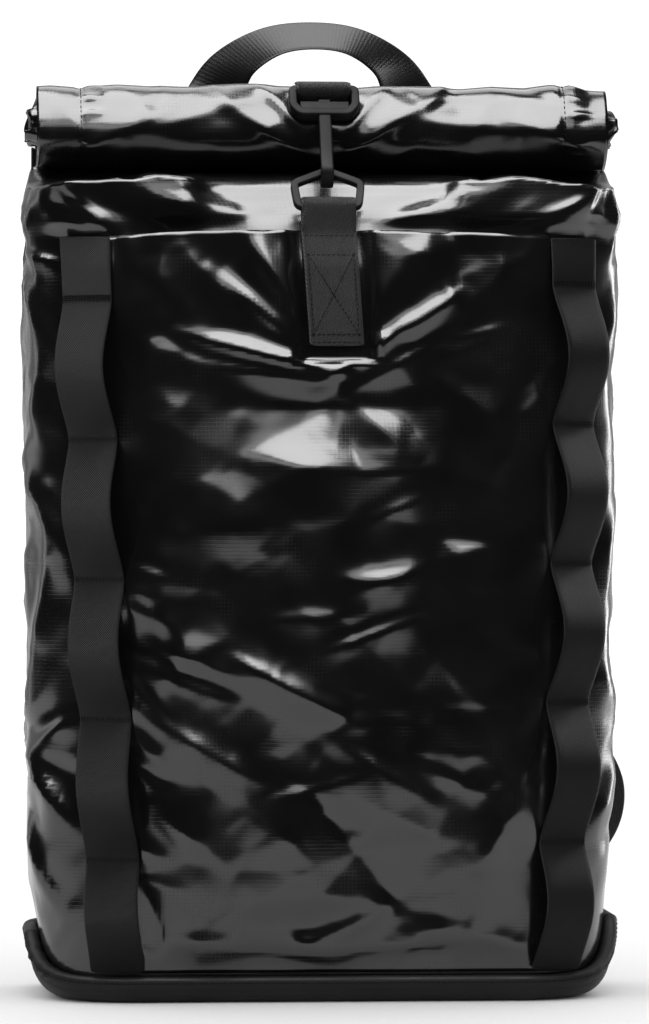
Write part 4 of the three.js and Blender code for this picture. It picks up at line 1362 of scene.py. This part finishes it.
def shoulderPath(route, name, thick, steps):
    lift = backFace + panel["thick"] + goods["gap"] + thick / 2
    rows = [(row["x"] + row.get("swing", 0) * tails[name], lift + row["off"], row["z"]) for row in route]
    return throughPoints(rows, steps) * np.array([sides[name], 1, 1])


def makePad(name):
    path = shoulderPath(padRoute, name, pads["thick"], pads["steps"])
    half = pads["width"] / 2
    w = np.linspace(-1, 1, pads["lanes"]) * (half - pads["faceInset"])
    crown = mix(pads["edge"], pads["thick"] - padding["cap"], 1 - (w / half) ** 2) / 2
    face = list(zip(w, crown))
    under = [(across, -height) for across, height in reversed(face)]
    edge = half - pads["edgeInset"]
    profile = np.array(face + [(edge, 0)] + under + [(-edge, 0)])
    obj = sweptBar(f"shoulderPad_{name}", path, profile, (1, 0, 0), closed=False)
    swell(obj)
    finishPad(obj, f"shoulder_pad_{name}")
    lines = []
    for side in (-1, 1):
        cord = path[1:-1] + np.array([side * (half - pads["piping"] / 2), 0, 0])
        makePiping(f"padPiping_{name}_{side + 1}", cord, (1, 0, 0), pads["piping"], closed=False)
        lines.append([(x + side * (half - pads["seamInset"]), z) for x, _, z in path[2:-2]])
    sewnFromBehind(f"padStitching_{name}", obj, lines)


makeBackPanel()
for padName in sides:
    makePad(padName)
print("padding made")


def makeTail(name):
    centres = shoulderPath(tailRoute, name, goods["webbing"], tails["steps"])
    along = unit(np.gradient(centres, axis=0))
    across = unit(np.array([1.0, 0, 0]) - along * along[:, :1])
    width = tails["width"]
    obj, flat = strapPiece(f"strapTail_{name}", webbingLook, f"strap_tail_{name}", centres, across, width)


for tailName in sides:
    makeTail(tailName)
print("straps made")


# Stage in metres: floor, light and camera

# the floor ends close in front, so that only the bag's foot mirrors it
stageFloor = {"left": -1.4, "right": 1.4, "near": -0.46, "far": 2.5, "sink": 0.0002,
              "color": (0.94, 0.94, 0.94)}


def makeFloor():
    mesh = bpy.data.meshes.new("floor")
    left, right, near, far = (stageFloor[key] for key in ("left", "right", "near", "far"))
    corners = [(left, near, 0), (right, near, 0), (right, far, 0), (left, far, 0)]
    mesh.from_pydata(corners, [], [(0, 1, 2, 3)])
    floor = newObject("floor", mesh)
    floor.location.z = -stageFloor["sink"]
    material, _ = newMaterial("paleFloor", stageFloor["color"], roughness=0.7)
    floor.data.materials.append(material)


room = {"white": 1.18, "front": 0.004, "frontTo": 0.5, "behind": 0.6, "behindFrom": 0.95}


def makeWorld():
    # white all round, but shiny cloth sees a dark room in front of it and a pale one behind
    white, dark, pale = ([room[key]] * 3 + [1] for key in ("white", "front", "behind"))
    world = bpy.data.worlds.new("studio")
    bpy.context.scene.world = world
    world.use_nodes = True
    place = addNode(world, "ShaderNodeTexCoord")
    split = addNode(world, "ShaderNodeSeparateXYZ")
    depth = addNode(world, "ShaderNodeValToRGB")
    path = addNode(world, "ShaderNodeLightPath")
    choose = addNode(world, "ShaderNodeMix", data_type="RGBA")
    choose.inputs["A"].default_value = white
    wire(world, place.outputs["Generated"], split.inputs[0])
    wire(world, split.outputs["Y"], depth.inputs["Fac"])
    stops = depth.color_ramp.elements
    stops[0].position = room["frontTo"]
    stops[0].color = dark
    stops[1].position = room["behindFrom"]
    stops[1].color = pale
    wire(world, depth.outputs["Color"], choose.inputs["B"])
    wire(world, path.outputs["Is Glossy Ray"], choose.inputs["Factor"])
    wire(world, choose.outputs["Result"], world.node_tree.nodes["Background"].inputs["Color"])


def addLamp(name, at, aim, size, power):
    data = bpy.data.lights.new(name, "AREA")
    data.shape = "RECTANGLE"
    data.size, data.size_y = size
    data.energy = power
    lamp = newObject(name, data)
    lamp.location = at
    lamp.rotation_euler = (Vector(aim) - Vector(at)).to_track_quat("-Z", "Y").to_euler()
    lamp.visible_camera = False
    lamp.visible_diffuse = False


lamps = {
    "overheadSoftbox": {"at": (-0.15, -0.55, 1.75), "aim": (0, -0.2, 0.3), "size": (2.3, 1.3), "power": 88},
    "topPanel": {"at": (0, 0.8, 1.8), "aim": (0, 0.2, 0.4), "size": (1.2, 0.9), "power": 12},
    "frontFill": {"at": (-0.3, -2.0, 1.7), "aim": (0, 0, 0.3), "size": (1.8, 0.6), "power": 9},
    "leftStrip": {"at": (-1.3, 0.9, 0.6), "aim": (0, 0, 0.3), "size": (0.3, 1.4), "power": 1.3},
    "rightStrip": {"at": (1.3, 0.9, 0.6), "aim": (0, 0, 0.3), "size": (0.3, 1.4), "power": 10},
}
shot = {"turn": -4, "distance": 3.0, "height": 0.265, "tall": 0.553, "frontDepth": -0.07, "middleX": -0.002,
        "sensor": 36}


def makeCamera():
    data = bpy.data.cameras.new("camera")
    data.sensor_width = shot["sensor"]
    data.lens = shot["sensor"] * shot["distance"] / shot["tall"]
    camera = newObject("camera", data)
    turn = math.radians(shot["turn"])
    target = Vector((shot["middleX"], shot["frontDepth"], shot["height"]))
    camera.location = target + Vector((math.sin(turn), -math.cos(turn), 0)) * shot["distance"]
    camera.rotation_euler = (math.pi / 2, 0, turn)
    bpy.context.scene.camera = camera


makeFloor()
makeWorld()
for lampName, lampValues in lamps.items():
    addLamp(lampName, **lampValues)
makeCamera()
bpy.context.scene.view_settings.view_transform = "Standard"
print("stage made")
